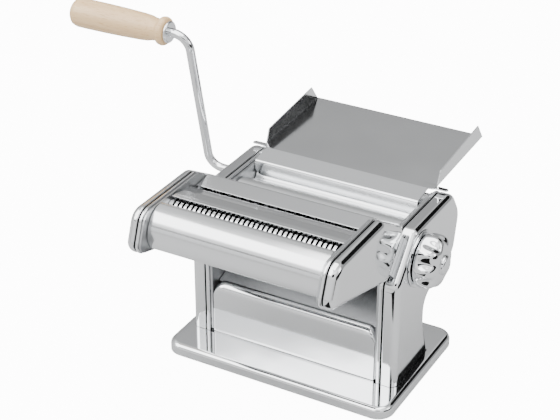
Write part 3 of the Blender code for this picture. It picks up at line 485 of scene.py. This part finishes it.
def moulded_rubber(colour):
    """Moulded rubber with a fine grain."""
    finish, nodes, links, shader = new_finish("foot rubber", colour, 0.0, 0.75)
    where = nodes.new("ShaderNodeTexCoord")
    grain = nodes.new("ShaderNodeTexNoise")
    grain.inputs["Scale"].default_value = 900
    links.new(where.outputs["Object"], grain.inputs["Vector"])
    bump = nodes.new("ShaderNodeBump")
    bump.inputs["Strength"].default_value = 0.3
    bump.inputs["Distance"].default_value = 0.0002
    links.new(grain.outputs["Fac"], bump.inputs["Height"])
    links.new(bump.outputs["Normal"], shader.inputs["Normal"])
    return finish


GROUPS = {}
FINISHES = {}


def make_finishes(colours):
    GROUPS["smear"] = smear_group()
    GROUPS["wave"] = wave_group()
    FINISHES["chrome"] = plated("polished chrome", colours.chrome, 0.045, 0.085, 0.5, 0.015)
    FINISHES["cover"] = plated("satin-polished cover", colours.chrome, 0.12, 0.17, 0.35, 0.04)
    FINISHES["tray"] = plated("rolled sheet", colours.chrome, 0.11, 0.16, 0.4, 0.05)
    FINISHES["roller"] = plated("ground roller", colours.chrome, 0.14, 0.20, 0.0, 0.08)
    FINISHES["steel"] = plated("ground steel", colours.steel, 0.24, 0.34, 0.2, 0.12)
    # Near-black finish: on the cheeks' seams it is partly the unplated gap and partly painted shade; in
    # the cutting rollers' grooves it is painted shade.
    FINISHES["seam"] = plated("unplated seam and painted shade", (0.02, 0.02, 0.02), 0.5, 0.6, 0.0)
    FINISHES["beech"] = beech(colours.beech_light, colours.beech_dark)
    FINISHES["rubber"] = moulded_rubber(colours.rubber)


# ---------------------------------------------------------------- outlines

def casing_outline():
    """The machine's cheek: a leg that widens into a head round both rollers."""
    back = REAR_Y_MM + 27.8
    waist = LEG_FRONT_MM + 55
    foot = BASE_TOP_MM + 0.3
    crown = LEG_FRONT_MM + (HEAD_TOP_MM - HEAD_BEND_MM) * math.tan(HEAD_SLOPE)
    corners = [
        (LEG_FRONT_MM, foot, 0), (waist + 11, foot, 0), (waist, BASE_TOP_MM + 32, 40),
        (waist, ROLLER_Z_MM - 46, 12), (REAR_Y_MM - 8, ROLLER_Z_MM - 47, 22),
        (back - 8, ROLLER_Z_MM - 33, 22), (back, ROLLER_Z_MM + 3, 20),
        (back - 15, HEAD_TOP_MM, 14), (crown, HEAD_TOP_MM, 6), (LEG_FRONT_MM, HEAD_BEND_MM, 14),
    ]
    return rounded_path(corners), foot


def cutter_outline():
    """The cutter's cheek: flat top, steep front, and a back edge that follows the head."""
    low_y, low_z, length = -40.0, 110.5, 36.0
    rear_y = low_y + length * math.sin(HEAD_SLOPE)
    rear_z = low_z + length * math.cos(HEAD_SLOPE)
    top, front = 169.5, -138.0
    corners = [
        (low_y, low_z, 5), (rear_y, rear_z, 5), (rear_y + 1, rear_z + 11, 5),
        (low_y - 11, top, 9), (front + 12, top, 14), (front, low_z + 27, 9),
    ]
    return rounded_path(corners)


def cheek_profile(inner, outer, rim, seam, over, wall=1.2):
    """From the hidden inner face, round the rim bead, down and up through the seam, along the
    shell's edge and over on to its outer face. Points are (x, inset) in millimetres."""
    groove = rim + seam
    bead = 0.9
    parts = [
        np.array([(outer - wall, over + wall), (outer - over, wall + 0.8),
                  (inner + 0.2, wall + 0.8)]),
        np.array([(inner, wall + 0.5), (inner, bead)]),
        quarter((inner, bead), (inner + bead, 0), False, 6),
        quarter((inner + rim - bead, 0), (inner + rim, bead), True, 6),
        np.array([(inner + rim, SEAM_DEPTH_MM), (inner + groove, SEAM_DEPTH_MM)]),
        quarter((inner + groove, 1.0), (inner + groove + 1.0, 0), False, 6),
        np.array([(outer - over - 0.4, 0)]),
        quarter((outer - over, 0), (outer, over), True, 14),
        np.array([(outer, over + 0.15)]),
    ]
    return np.concatenate(parts)


# ---------------------------------------------------------------- pieces

class SHEETROLLER_OT_base(bpy.types.Operator):
    """Build the pressed base pan"""

    bl_idname = "sheetroller.base"
    bl_label = "Base pan"

    def execute(self, context):
        half_x = (BASE_HIGH.x - BASE_LOW.x) / 2 / MM
        half_y = (BASE_HIGH.y - BASE_LOW.y) / 2 / MM
        corner = 14
        corners = [(-half_x, -half_y, corner), (half_x, -half_y, corner),
                   (half_x, half_y, corner), (-half_x, half_y, corner)]
        outline = rounded_path(corners, turn_step=5, run_step=8)
        wall = 1.2
        top = BASE_TOP_MM
        edge = 4.4
        profile = np.concatenate([
            np.array([(top - wall, edge + wall), (top - edge, wall), (0.4, wall)]),
            np.array([(0.0, wall - 0.3), (0.0, 0.35), (0.35, 0.0)]),
            np.array([(top - edge - 0.4, 0)]),
            quarter((top - edge, 0), (top, edge), True, 12),
            np.array([(top, edge + 0.2)]),
        ])
        rows = outline[None] + inward(outline)[None] * profile[:, 1][:, None, None]
        height = np.broadcast_to(profile[:, 0][:, None, None], rows.shape[:2] + (1,))
        mesh = grid_mesh("base_pan", np.concatenate((rows, height), axis=2), True, True, True)
        piece = add_piece("base_pan", mesh, FINISHES["chrome"], "machine", "chrome", "base_plate")
        sharpen(piece)
        return {"FINISHED"}


class SHEETROLLER_OT_cheeks(bpy.types.Operator):
    """Build both cheeks of the machine with their rim beads and seams"""

    bl_idname = "sheetroller.cheeks"
    bl_label = "Machine cheeks"

    def execute(self, context):
        sizes = context.scene.roller_sizes
        outline, foot = casing_outline()
        inner, outer, rim, seam = 77.3, 94.0, 3.0, sizes.seam / MM
        profile = cheek_profile(inner, outer, rim, seam, sizes.shell_round / MM)
        for name, side in (("left", -1), ("right", 1)):
            mesh = pressed_shell(f"cheek_{name}", outline, profile, side, foot)
            piece = add_piece(f"cheek_{name}", mesh, FINISHES["chrome"], "machine", "chrome",
                              f"casing_{name}")
            # The seam's walls get the near-black finish, partly the unplated gap and partly painted
            # shade.
            darken_seam(mesh, inner + rim, inner + rim + seam, FINISHES["seam"])
            sharpen(piece)
        return {"FINISHED"}


class SHEETROLLER_OT_cutter_cheeks(bpy.types.Operator):
    """Build both cheeks of the cutter with their rim beads and seams"""

    bl_idname = "sheetroller.cutter_cheeks"
    bl_label = "Cutter cheeks"

    def execute(self, context):
        sizes = context.scene.roller_sizes
        outline = cutter_outline()
        inner, outer, rim, seam, over = 76.3, 88.3, 2.6, sizes.seam / MM, 6.4
        profile = cheek_profile(inner, outer, rim, seam, over)
        for name, side in (("left", -1), ("right", 1)):
            mesh = pressed_shell(f"cutter_cheek_{name}", outline, profile, side)
            piece = add_piece(f"cutter_cheek_{name}", mesh, FINISHES["chrome"], "cutter", "chrome",
                              f"cutter_casing_{name}")
            # The seam's walls get the near-black finish, partly the unplated gap and partly painted
            # shade.
            darken_seam(mesh, inner + rim, inner + rim + seam, FINISHES["seam"])
            sharpen(piece)
        return {"FINISHED"}


class SHEETROLLER_OT_rollers(bpy.types.Operator):
    """Build the two smooth rollers"""

    bl_idname = "sheetroller.rollers"
    bl_label = "Smooth rollers"

    def execute(self, context):
        half = INNER_HALF_MM - 0.4
        shaft = 6.0
        ends = {"front": (FRONT_SHAFT, FRONT_Y_MM), "rear": (REAR_SHAFT, REAR_Y_MM)}
        for name, (box, y) in ends.items():
            low = (box[0].x - MIDDLE.x) / MM
            high = (box[1].x - MIDDLE.x) / MM
            radius = ROLLER_R_MM
            knots = [(low, shaft - 0.6), (low + 0.6, shaft), (-half, shaft), (-half, radius - 0.8),
                     (-half + 0.8, radius), (half - 0.8, radius), (half, radius - 0.8),
                     (half, shaft), (high - 0.6, shaft), (high, shaft - 0.6)]
            profile = smoothed_profile(knots, 4, 0.25)
            mesh = turned(f"smooth_roller_{name}", profile, 96, y, ROLLER_Z_MM)
            piece = add_piece(f"smooth_roller_{name}", mesh, FINISHES["roller"], f"{name}_roller",
                              "chrome", f"roller_{name}")
            sharpen(piece, 30)
        return {"FINISHED"}


class SHEETROLLER_OT_knob(bpy.types.Operator):
    """Build the lobed thickness knob and its index disc"""

    bl_idname = "sheetroller.knob"
    bl_label = "Thickness knob"

    def execute(self, context):
        lobes = context.scene.roller_sizes.lobes
        low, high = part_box("thickness_knob")
        start = (low.x - MIDDLE.x) / MM
        length = (high.x - low.x) / MM
        y, z = machine_y((low, high)), machine_z((low, high))
        radius = 22.5
        shape = [(0.0, 0.86), (0.02, 0.93), (0.10, 0.99), (0.22, 1.0), (0.42, 1.0), (0.58, 0.965),
                 (0.70, 0.88), (0.78, 0.76), (0.83, 0.62), (0.85, 0.50), (0.845, 0.42),
                 (0.83, 0.385), (0.84, 0.36), (0.90, 0.345), (0.955, 0.31), (0.985, 0.22),
                 (1.0, 0.11), (1.0, 0.03)]
        knots = np.array([(start + share * length, size * radius) for share, size in shape])
        station = np.linspace(0, len(knots) - 1, 5 * len(knots))
        order = np.arange(len(knots))
        profile = np.stack([np.interp(station, order, knots[:, k]) for k in (0, 1)], axis=1)
        kernel = np.array((0.25, 0.5, 0.25))
        for _ in range(6):
            middle = np.stack([np.convolve(profile[:, k], kernel, "valid") for k in (0, 1)], axis=1)
            profile = np.concatenate((profile[:1], middle, profile[-1:]))

        def ripple(x, size, angle):
            """Scoops between the lobes: deepest on the shoulder, none at the back or the cap."""
            share = (x - start) / length
            fade = np.clip((size / radius - 0.44) / 0.4, 0, 1)
            band = np.exp(-((share - 0.52) / 0.34) ** 2) * fade * fade * (3 - 2 * fade)
            scoop = (0.5 - 0.5 * np.cos(lobes * angle)) ** 1.3
            return size - 3.4 * band * scoop

        mesh = turned("knob_body", profile, lobes * 24, y, z, ripple)
        piece = add_piece("knob_body", mesh, FINISHES["chrome"], "knob", "chrome", "thickness_knob")
        sharpen(piece, 50)
        low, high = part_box("index_disc")
        inner = (low.x - MIDDLE.x) / MM
        outer = (high.x - MIDDLE.x) / MM
        rim = (high.z - low.z) / 2 / MM
        knots = [(inner, 4.4), (inner, rim - 0.4), (inner + 0.4, rim), (outer - 0.4, rim),
                 (outer, rim - 0.4), (outer, 4.4)]
        mesh = turned("index_plate", np.array(knots), 96, y, z)
        piece = add_piece("index_plate", mesh, FINISHES["chrome"], "machine", "chrome", "index_disc")
        sharpen(piece)
        return {"FINISHED"}


def rod_path(corners, radius, step=5.0):
    """A 3-D path whose inner corners are arcs tangent to both runs."""
    path = [corners[0][None]]
    for before, corner, after in zip(corners[:-2], corners[1:-1], corners[2:]):
        back = (before - corner) / np.linalg.norm(before - corner)
        ahead = (after - corner) / np.linalg.norm(after - corner)
        half = math.acos(np.clip(back @ ahead, -1, 1)) / 2
        middle = (back + ahead) / np.linalg.norm(back + ahead)
        bend = radius[len(path) - 1]
        centre = corner + middle * bend / math.sin(half)
        first = corner + back * bend / math.tan(half) - centre
        last = corner + ahead * bend / math.tan(half) - centre
        sweep = math.pi - 2 * half
        share = np.linspace(0, 1, max(4, int(math.degrees(sweep) / step)))[:, None]
        arc = (np.sin((1 - share) * sweep) * first + np.sin(share * sweep) * last) / math.sin(sweep)
        path.append(centre + arc)
    path.append(corners[-1][None])
    return np.concatenate(path)


def tube(name, path, radius, sides=32):
    """A circle carried along a path, kept square to it, with both ends capped."""
    along = np.gradient(path, axis=0)
    along /= np.linalg.norm(along, axis=1, keepdims=True)
    normal = np.cross(path[2] - path[0], path[-1] - path[0])
    normal /= np.linalg.norm(normal)
    side = np.broadcast_to(normal, along.shape) - along * (along @ normal)[:, None]
    side /= np.linalg.norm(side, axis=1, keepdims=True)
    other = np.cross(along, side)
    angle = 2 * math.pi * np.arange(sides) / sides
    ring = side[:, None] * np.cos(angle)[None, :, None] + other[:, None] * np.sin(angle)[None, :, None]
    return grid_mesh(name, path[:, None] + radius * ring, True, True, True)


class SHEETROLLER_OT_crank(bpy.types.Operator):
    """Build the crank rod, its collar and the beech grip"""

    bl_idname = "sheetroller.crank"
    bl_label = "Crank and grip"

    def execute(self, context):
        rod = 3.8
        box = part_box("crank_rod")
        grip_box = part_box("grip")
        start = (box[1].x - MIDDLE.x) / MM
        tip = (box[0].x - MIDDLE.x) / MM
        arm = -130.0
        grip_y, grip_z = machine_y(grip_box), machine_z(grip_box)
        corners = [np.array(spot) for spot in (
            (start, REAR_Y_MM, ROLLER_Z_MM), (arm, REAR_Y_MM, ROLLER_Z_MM),
            (arm, grip_y, grip_z), (tip, grip_y, grip_z))]
        mesh = tube("crank_arm", rod_path(corners, (13.0, 14.0)), rod)
        piece = add_piece("crank_arm", mesh, FINISHES["chrome"], "crank", "chrome", "crank_rod")
        sharpen(piece, 50)
        low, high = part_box("grip_washer")
        inner, outer = (low.x - MIDDLE.x) / MM, (high.x - MIDDLE.x) / MM
        rim = (high.z - low.z) / 2 / MM
        bead = arc_path(((inner + outer) / 2, rim - 1.4), 1.4, 180, 0, 17)
        knots = np.concatenate([np.array([(inner, rod + 0.4)]), bead, np.array([(outer, rod + 0.4)])])
        mesh = turned("grip_collar", knots, 64, grip_y, grip_z)
        piece = add_piece("grip_collar", mesh, FINISHES["chrome"], "crank", "chrome", "grip_washer")
        sharpen(piece)
        self.grip(grip_box, grip_y, grip_z)
        return {"FINISHED"}

    def grip(self, box, y, z):
        """A barrel that swells to its outer third, a waist, and a ring at its inner end."""
        outer = (box[0].x - MIDDLE.x) / MM
        inner = (box[1].x - MIDDLE.x) / MM
        radius = (box[1].z - box[0].z) / 2 / MM
        neck = 9.3
        knots = np.array([
            (outer, 1.0), (outer, radius - 4.6), (outer + 0.6, radius - 3.2), (outer + 2.4, radius - 1.2),
            (outer + 6, radius - 0.1), (outer + 14, radius), (outer + 34, radius - 0.1),
            (outer + 52, radius - 0.5), (outer + 68, radius - 1.1), (outer + 75, radius - 1.7),
            (outer + 79, radius - 2.7), (inner - 9.5, neck), (inner - 7.4, neck + 0.1),
            (inner - 6.6, neck + 1.4), (inner - 5.2, radius - 0.7), (inner - 3.0, radius - 0.3),
            (inner - 1.0, radius - 0.9), (inner, radius - 2.0), (inner, 4.3)])
        profile = smoothed_profile([tuple(k) for k in knots], 5, 1.2)
        mesh = turned("beech_grip", profile, 72, y, z)
        piece = add_piece("beech_grip", mesh, FINISHES["beech"], "grip", "beech", "grip")
        sharpen(piece, 45)


def tray_rows():
    """The tray's profile from its lip to its back edge."""
    lip_y, lip_z, edge_z, fold_z, fold_y = 38.5, 126.8, 139.4, 142.0, 58.5
    back_y, back_z = 159.0, 146.5
    corners = [(lip_y, lip_z, 0), (lip_y, edge_z, 1.6), (fold_y, fold_z, 3), (back_y, back_z, 0)]
    return rounded_path(corners, closed=False, turn_step=8, run_step=1.0)


class SHEETROLLER_OT_tray(bpy.types.Operator):
    """Build the folded feed tray with its wings and tabs"""

    bl_idname = "sheetroller.tray"
    bl_label = "Feed tray"

    def execute(self, context):
        narrow, wide = INNER_HALF_MM - 0.6, 79.3
        shoulder, tab_end = 59.5, 66.0
        near_y, near_h, far_y, far_h, back_y = 70.5, 11.5, 147.0, 15.5, 159.0
        path = tray_rows()
        y, z = path[:, 0], path[:, 1]
        half = np.where(y < shoulder, narrow, wide)
        drop = z - z[0]
        corner = 7.0
        ease = np.clip(corner - drop, 0, corner)
        lip = y < 39.5
        half = half - np.where(lip, corner - np.sqrt(corner**2 - ease**2), 0)
        wing = np.interp(y, (tab_end, near_y, far_y, back_y - 0.5), (0, near_h, far_h, 0))
        columns = np.linspace(-1, 1, 25)
        flat = half[:, None] * columns[None]
        share = np.linspace(1, 0, 8)
        upright = wing[:, None] * share[None]
        side = np.broadcast_to(half[:, None], upright.shape)
        grid_x = np.concatenate((-side[:, :-1], flat, side[:, ::-1][:, 1:]), axis=1)
        rise = np.concatenate((upright[:, :-1], np.zeros_like(flat), upright[:, ::-1][:, 1:]), axis=1)
        grid_y = np.broadcast_to(y[:, None], grid_x.shape)
        grid = np.stack((grid_x, grid_y, z[:, None] + rise), axis=2)
        mesh = grid_mesh("tray_sheet", grid)
        piece = add_piece("tray_sheet", mesh, FINISHES["tray"], "tray", "chrome", "feed_tray")
        mesh.set_sharp_from_angle(angle=math.radians(40))
        sheet_metal(piece)
        level = float(np.interp(shoulder, y[y > 58], z[y > 58]))
        for name, sign in (("left", -1), ("right", 1)):
            corners = [(wide - 0.4, shoulder + 0.8, 0), (wide + 11, shoulder + 0.8, 2.4),
                       (wide + 11, tab_end - 0.8, 2.4), (wide - 0.4, tab_end - 0.8, 0)]
            rim = rounded_path(corners, turn_step=12, run_step=4)
            middle = rim.mean(axis=0)
            shares = np.array((1.0, 0.85, 0.02))[:, None, None]
            spots = middle + (rim - middle)[None] * shares
            tall = np.full(spots.shape[:2] + (1,), level)
            grid = np.concatenate((spots * np.array((sign, 1)), tall), axis=2)
            mesh = grid_mesh(f"tray_tab_{name}", grid, True, False, True)
            piece = add_piece(f"tray_tab_{name}", mesh, FINISHES["tray"], "tray", "chrome")
            sheet_metal(piece, 0.0009)
        return {"FINISHED"}


def cutter_spot(along, high):
    """A point in the cutter measured forwards along the tilted row of rollers and up from it."""
    nip_y, nip_z = -97.6, 157.0
    return (nip_y - along * math.cos(CUT_TILT) + high * math.sin(CUT_TILT),
            nip_z + along * math.sin(CUT_TILT) + high * math.cos(CUT_TILT))


class SHEETROLLER_OT_cutting_rollers(bpy.types.Operator):
    """Build the four grooved cutting rollers"""

    bl_idname = "sheetroller.cutting_rollers"
    bl_label = "Cutting rollers"

    def execute(self, context):
        sizes = context.scene.roller_sizes
        for width, rings in (("narrow", sizes.narrow_lands), ("wide", sizes.wide_lands)):
            for place_name, shift in (("front", 0.0), ("back", 0.5)):
                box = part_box(f"{width}_roller_{place_name}")
                profile = self.ringed(box, rings, shift, sizes.groove / MM)
                name = f"{width}_cutter_{place_name}"
                mesh = turned(name, profile, 56, machine_y(box), machine_z(box))
                piece = add_piece(name, mesh, FINISHES["roller"], f"{width}_{place_name}", "steel",
                                  f"{width}_roller_{place_name}")
                land = (box[1].z - box[0].z) / 2 / MM
                # Painted shade: the groove faces get the near-black finish.
                paint_groove_shade(mesh, machine_y(box), machine_z(box), land, FINISHES["seam"])
                sharpen(piece, 30)
        return {"FINISHED"}

    def ringed(self, box, rings, shift, depth):
        """Shaft, then equal lands and grooves along the roller, moved by a share of the pitch."""
        end = (box[1].x - MIDDLE.x) / MM
        half = 74.1
        radius = (box[1].z - box[0].z) / 2 / MM
        shaft = 3.5
        pitch = 2 * half / rings
        first = -half + pitch * (0.25 + shift)
        starts = first + pitch * np.arange(rings - (1 if shift else 0))
        width = pitch / 2
        steps = np.array(((0.0, 0.0), (0.12, -depth), (width - 0.12, -depth), (width, 0.0)))
        grooves = (starts[:, None, None] + steps[None, :, :1]).reshape(-1)
        levels = np.tile(radius + steps[:, 1], len(starts))
        keep = grooves < half - 0.1
        body = np.stack((grooves[keep], levels[keep]), axis=1)
        head = np.array([(-end, shaft), (-half, shaft), (-half, radius)])
        tail = np.array([(half, radius), (half, shaft), (end, shaft)])
        return np.concatenate((head, body, tail))


class SHEETROLLER_OT_cutter_sheets(bpy.types.Operator):
    """Build the cutter's front cover and its two dough guides"""

    bl_idname = "sheetroller.cutter_sheets"
    bl_label = "Cutter covers and guides"

    def execute(self, context):
        half = 73.9
        centre, radius = (-105.5, 148.8), 19.1
        path = arc_path(centre, radius, 86, 221, 64)
        self.sheet("cutter_cover", path, half, "cutter_front_cover", "cover")
        level = 8.4 + 1.4
        corners = [(*cutter_spot(-6.2, level + 0.9), 0), (*cutter_spot(-11, level + 1.9), 8),
                   (*cutter_spot(-19.8, level + 2.5), 12), (*cutter_spot(-33, level + 0.5), 8),
                   (*cutter_spot(-36.6, level - 0.3), 0)]
        path = rounded_path(corners, closed=False, turn_step=3, run_step=2)
        self.sheet("cutter_guide_middle", path, half, "cutter_middle_guide", "cover")
        corners = [(*cutter_spot(-42.1, level), 0), (*cutter_spot(-60.6, level + 5), 3),
                   (*cutter_spot(-65.6, level - 1), 3), (*cutter_spot(-56.6, -16), 0)]
        path = rounded_path(corners, closed=False, turn_step=6, run_step=2)
        self.sheet("cutter_guide_rear", path, half, "cutter_rear_guide", "cover")
        return {"FINISHED"}

    def sheet(self, name, path, half, node, finish):
        mesh = grid_mesh(name, bent_sheet(path, half, 9))
        piece = add_piece(name, mesh, FINISHES[finish], "cutter", "chrome", node)
        sheet_metal(piece)


class SHEETROLLER_OT_body_sheets(bpy.types.Operator):
    """Build the front panel and the cover behind the rear roller"""

    bl_idname = "sheetroller.body_sheets"
    bl_label = "Panels between the cheeks"

    def execute(self, context):
        face, top, roll = LEG_FRONT_MM + 2.5, BASE_TOP_MM + 47.0, 6.0
        half = INNER_HALF_MM - 0.6
        rise = np.array([(face, z) for z in np.linspace(BASE_TOP_MM + 0.3, top - roll, 16)])
        curl = arc_path((face + roll, top - roll), roll, 180, 70, 16)[1:]
        path = np.concatenate((rise, curl))
        grid = bent_sheet(path, half, 81)
        corner = 9.0
        reach = np.clip(np.abs(grid[..., 0]) - (half - corner), 0, corner)
        drop = corner - np.sqrt(corner**2 - reach**2)
        share = np.clip((grid[..., 2] - (top - roll - corner)) / (roll + corner), 0, 1)
        grid[..., 2] -= drop * share
        mesh = grid_mesh("front_sheet", grid)
        piece = add_piece("front_sheet", mesh, FINISHES["chrome"], "machine", "chrome", "front_panel")
        sheet_metal(piece)
        path = arc_path((REAR_Y_MM, ROLLER_Z_MM), ROLLER_R_MM + 2.2, 42, -48, 36)
        mesh = grid_mesh("roller_cover", bent_sheet(path, half, 9))
        piece = add_piece("roller_cover", mesh, FINISHES["chrome"], "machine", "chrome", "back_cover")
        sheet_metal(piece)
        return {"FINISHED"}


class SHEETROLLER_OT_inner_parts(bpy.types.Operator):
    """Give the frame plates, gears, shafts, scrapers and feet their finishes"""

    bl_idname = "sheetroller.inner_parts"
    bl_label = "Inner parts"

    def execute(self, context):
        slots = {row["node"]: row["material_slot"] for row in frame["record"]["subparts"]}
        for name, node in frame["nodes"].items():
            if node.hide_render:
                continue
            finish = FINISHES[slots[name]]
            if node.data.materials:
                for k in range(len(node.data.materials)):
                    node.data.materials[k] = finish
            else:
                node.data.materials.append(finish)
        return {"FINISHED"}


# ---------------------------------------------------------------- studio

def card(name, centre, turn, width, height, colour, strength=0.0):
    """A flat card of the studio, seen only in reflections."""
    x, y = width / 2, height / 2
    mesh = bpy.data.meshes.new(name)
    mesh.from_pydata([(-x, -y, 0), (x, -y, 0), (x, y, 0), (-x, y, 0)], [], [(0, 1, 2, 3)])
    piece = bpy.data.objects.new(name, mesh)
    bpy.context.scene.collection.objects.link(piece)
    piece.location = centre
    piece.rotation_euler = Euler(turn)
    finish = bpy.data.materials.new(name)
    finish.use_nodes = True
    shader = finish.node_tree.nodes["Principled BSDF"]
    shader.inputs["Base Color"].default_value = (*colour, 1)
    shader.inputs["Roughness"].default_value = 0.9
    shader.inputs["Specular IOR Level"].default_value = 0.0
    if strength:
        shader.inputs["Emission Color"].default_value = (1, 1, 1, 1)
        shader.inputs["Emission Strength"].default_value = strength
    mesh.materials.append(finish)
    piece.visible_camera = False
    piece.visible_shadow = False
    piece.visible_diffuse = False
    return piece


def studio_world():
    """A pale tent: bright low and overhead, a grey belt between, brighter towards the front."""
    world = bpy.data.worlds.new("studio tent")
    bpy.context.scene.world = world
    world.use_nodes = True
    nodes, links = world.node_tree.nodes, world.node_tree.links
    where = nodes.new("ShaderNodeTexCoord")
    split = nodes.new("ShaderNodeSeparateXYZ")
    links.new(where.outputs["Generated"], split.inputs["Vector"])
    height = nodes.new("ShaderNodeValToRGB")
    ramp = height.color_ramp
    stops = ((0.0, 0.75), (0.20, 0.90), (0.54, 1.08), (0.66, 2.1), (0.80, 1.5), (1.0, 1.3))
    while len(ramp.elements) < len(stops):
        ramp.elements.new(0.5)
    for element, (position, value) in zip(ramp.elements, stops):
        element.position = position
        element.color = (value, value * 1.006, value * 1.012, 1)
    links.new(split.outputs["Z"], height.inputs["Fac"])
    front = nodes.new("ShaderNodeMapRange")
    front.inputs["From Min"].default_value = 0.6
    front.inputs["From Max"].default_value = -0.7
    front.inputs["To Min"].default_value = 0.44
    front.inputs["To Max"].default_value = 1.5
    links.new(split.outputs["Y"], front.inputs["Value"])
    background = nodes["Background"]
    links.new(height.outputs["Color"], background.inputs["Color"])
    links.new(front.outputs["Result"], background.inputs["Strength"])


class SHEETROLLER_OT_stage(bpy.types.Operator):
    """Set up the pale floor, the soft lights and the camera"""

    bl_idname = "sheetroller.stage"
    bl_label = "Studio"

    def execute(self, context):
        studio_world()
        self.floor()
        self.lights()
        self.camera(context.scene)
        return {"FINISHED"}

    def floor(self):
        mesh = bpy.data.meshes.new("floor")
        reach = 6.0
        mesh.from_pydata([(-reach, -reach, 0), (reach, -reach, 0), (reach, reach, 0), (-reach, reach, 0)],
                         [], [(0, 1, 2, 3)])
        floor = bpy.data.objects.new("floor", mesh)
        bpy.context.scene.collection.objects.link(floor)
        finish, nodes, links, shader = new_finish("pale floor", (0.50, 0.50, 0.50), 0.0, 0.85)
        shader.inputs["Specular IOR Level"].default_value = 0.1
        shader.inputs["Emission Color"].default_value = (1, 1, 1, 1)
        path = nodes.new("ShaderNodeLightPath")
        glow = nodes.new("ShaderNodeMath")
        glow.operation = "MULTIPLY"
        glow.inputs[1].default_value = 12.0
        links.new(path.outputs["Is Camera Ray"], glow.inputs[0])
        links.new(glow.outputs["Value"], shader.inputs["Emission Strength"])
        mesh.materials.append(finish)

    def lights(self):
        spots = (("overhead", (0.1, -0.1, 1.9), (0.0, 0.0, 0.0), 1.5, 30.0),
                 ("front left", (-1.5, -1.3, 1.1), (1.05, 0.0, -0.86), 0.9, 12.0),
                 ("right", (1.7, 0.3, 0.9), (0.0, 1.12, 0.0), 0.7, 5.0))
        for name, where, turn, size, power in spots:
            lamp = bpy.data.lights.new(name, "AREA")
            lamp.shape = "SQUARE"
            lamp.size = size
            lamp.energy = power
            light = bpy.data.objects.new(name, lamp)
            bpy.context.scene.collection.objects.link(light)
            light.location = where
            light.rotation_euler = Euler(turn)
        black = (0.006, 0.006, 0.006)
        dark_cards = (("camera_side", (0.75, -1.35, 0.95), (61, 0, 29), 0.8, 0.5),
                      ("left", (-0.95, -1.15, 0.58), (90, 0, -40), 1.3, 0.12),
                      ("floor", (0.27, -0.44, 0.004), (0, 0, 28), 0.14, 0.60),
                      ("right", (1.05, -0.05, 0.20), (90, 0, 90), 1.0, 0.36),
                      ("right_back", (0.75, 1.45, 1.05), (-62, 0, -27), 1.1, 0.8))
        for name, where, turn, width, height in dark_cards:
            turn = [math.radians(angle) for angle in turn]
            card(f"{name}_card", where, turn, width, height, black)
        turn = (math.radians(33), 0, math.radians(-38))
        card("front_softbox", (-0.66, -0.86, 1.35), turn, 2.2, 1.0, (1, 1, 1), 5.0)

    def camera(self, scene):
        """The lens and place that give the object's true perspective."""
        data = bpy.data.cameras.new("view")
        data.lens = 97.96
        data.sensor_width = 36
        view = bpy.data.objects.new("view", data)
        scene.collection.objects.link(view)
        view.location = (MIDDLE.x + 0.49528, MIDDLE.y - 0.94121, 0.72895)
        view.rotation_euler = Euler((math.radians(60.69), 0, math.radians(29.14)))
        scene.camera = view


STEPS = (
    SHEETROLLER_OT_base, SHEETROLLER_OT_cheeks, SHEETROLLER_OT_rollers, SHEETROLLER_OT_knob,
    SHEETROLLER_OT_crank, SHEETROLLER_OT_tray, SHEETROLLER_OT_cutter_cheeks,
    SHEETROLLER_OT_cutting_rollers, SHEETROLLER_OT_cutter_sheets, SHEETROLLER_OT_body_sheets,
    SHEETROLLER_OT_inner_parts, SHEETROLLER_OT_stage,
)


class SHEETROLLER_PT_panel(bpy.types.Panel):
    """Sidebar panel that lists the sizes, the colours and the build steps"""

    bl_idname = "SHEETROLLER_PT_panel"
    bl_label = "Sheet Roller"
    bl_space_type = "VIEW_3D"
    bl_region_type = "UI"
    bl_category = "Sheet Roller"

    def draw(self, context):
        for settings in (context.scene.roller_sizes, context.scene.roller_finish):
            for field in settings.bl_rna.properties:
                if field.identifier not in ("rna_type", "name"):
                    self.layout.prop(settings, field.identifier)
        for step in STEPS:
            self.layout.operator(step.bl_idname)


CLASSES = (RollerSizes, RollerFinish, *STEPS, SHEETROLLER_PT_panel)


def register():
    for item in CLASSES:
        bpy.utils.register_class(item)
    bpy.types.Scene.roller_sizes = bpy.props.PointerProperty(type=RollerSizes)
    bpy.types.Scene.roller_finish = bpy.props.PointerProperty(type=RollerFinish)


def unregister():
    del bpy.types.Scene.roller_finish
    del bpy.types.Scene.roller_sizes
    for item in reversed(CLASSES):
        bpy.utils.unregister_class(item)


def main():
    register()
    make_finishes(bpy.context.scene.roller_finish)
    bpy.ops.sheetroller.base()
    bpy.ops.sheetroller.cheeks()
    bpy.ops.sheetroller.rollers()
    bpy.ops.sheetroller.knob()
    bpy.ops.sheetroller.crank()
    bpy.ops.sheetroller.tray()
    bpy.ops.sheetroller.cutter_cheeks()
    bpy.ops.sheetroller.cutting_rollers()
    bpy.ops.sheetroller.cutter_sheets()
    bpy.ops.sheetroller.body_sheets()
    bpy.ops.sheetroller.inner_parts()
    bpy.ops.sheetroller.stage()


if __name__ == "__main__":
    main()
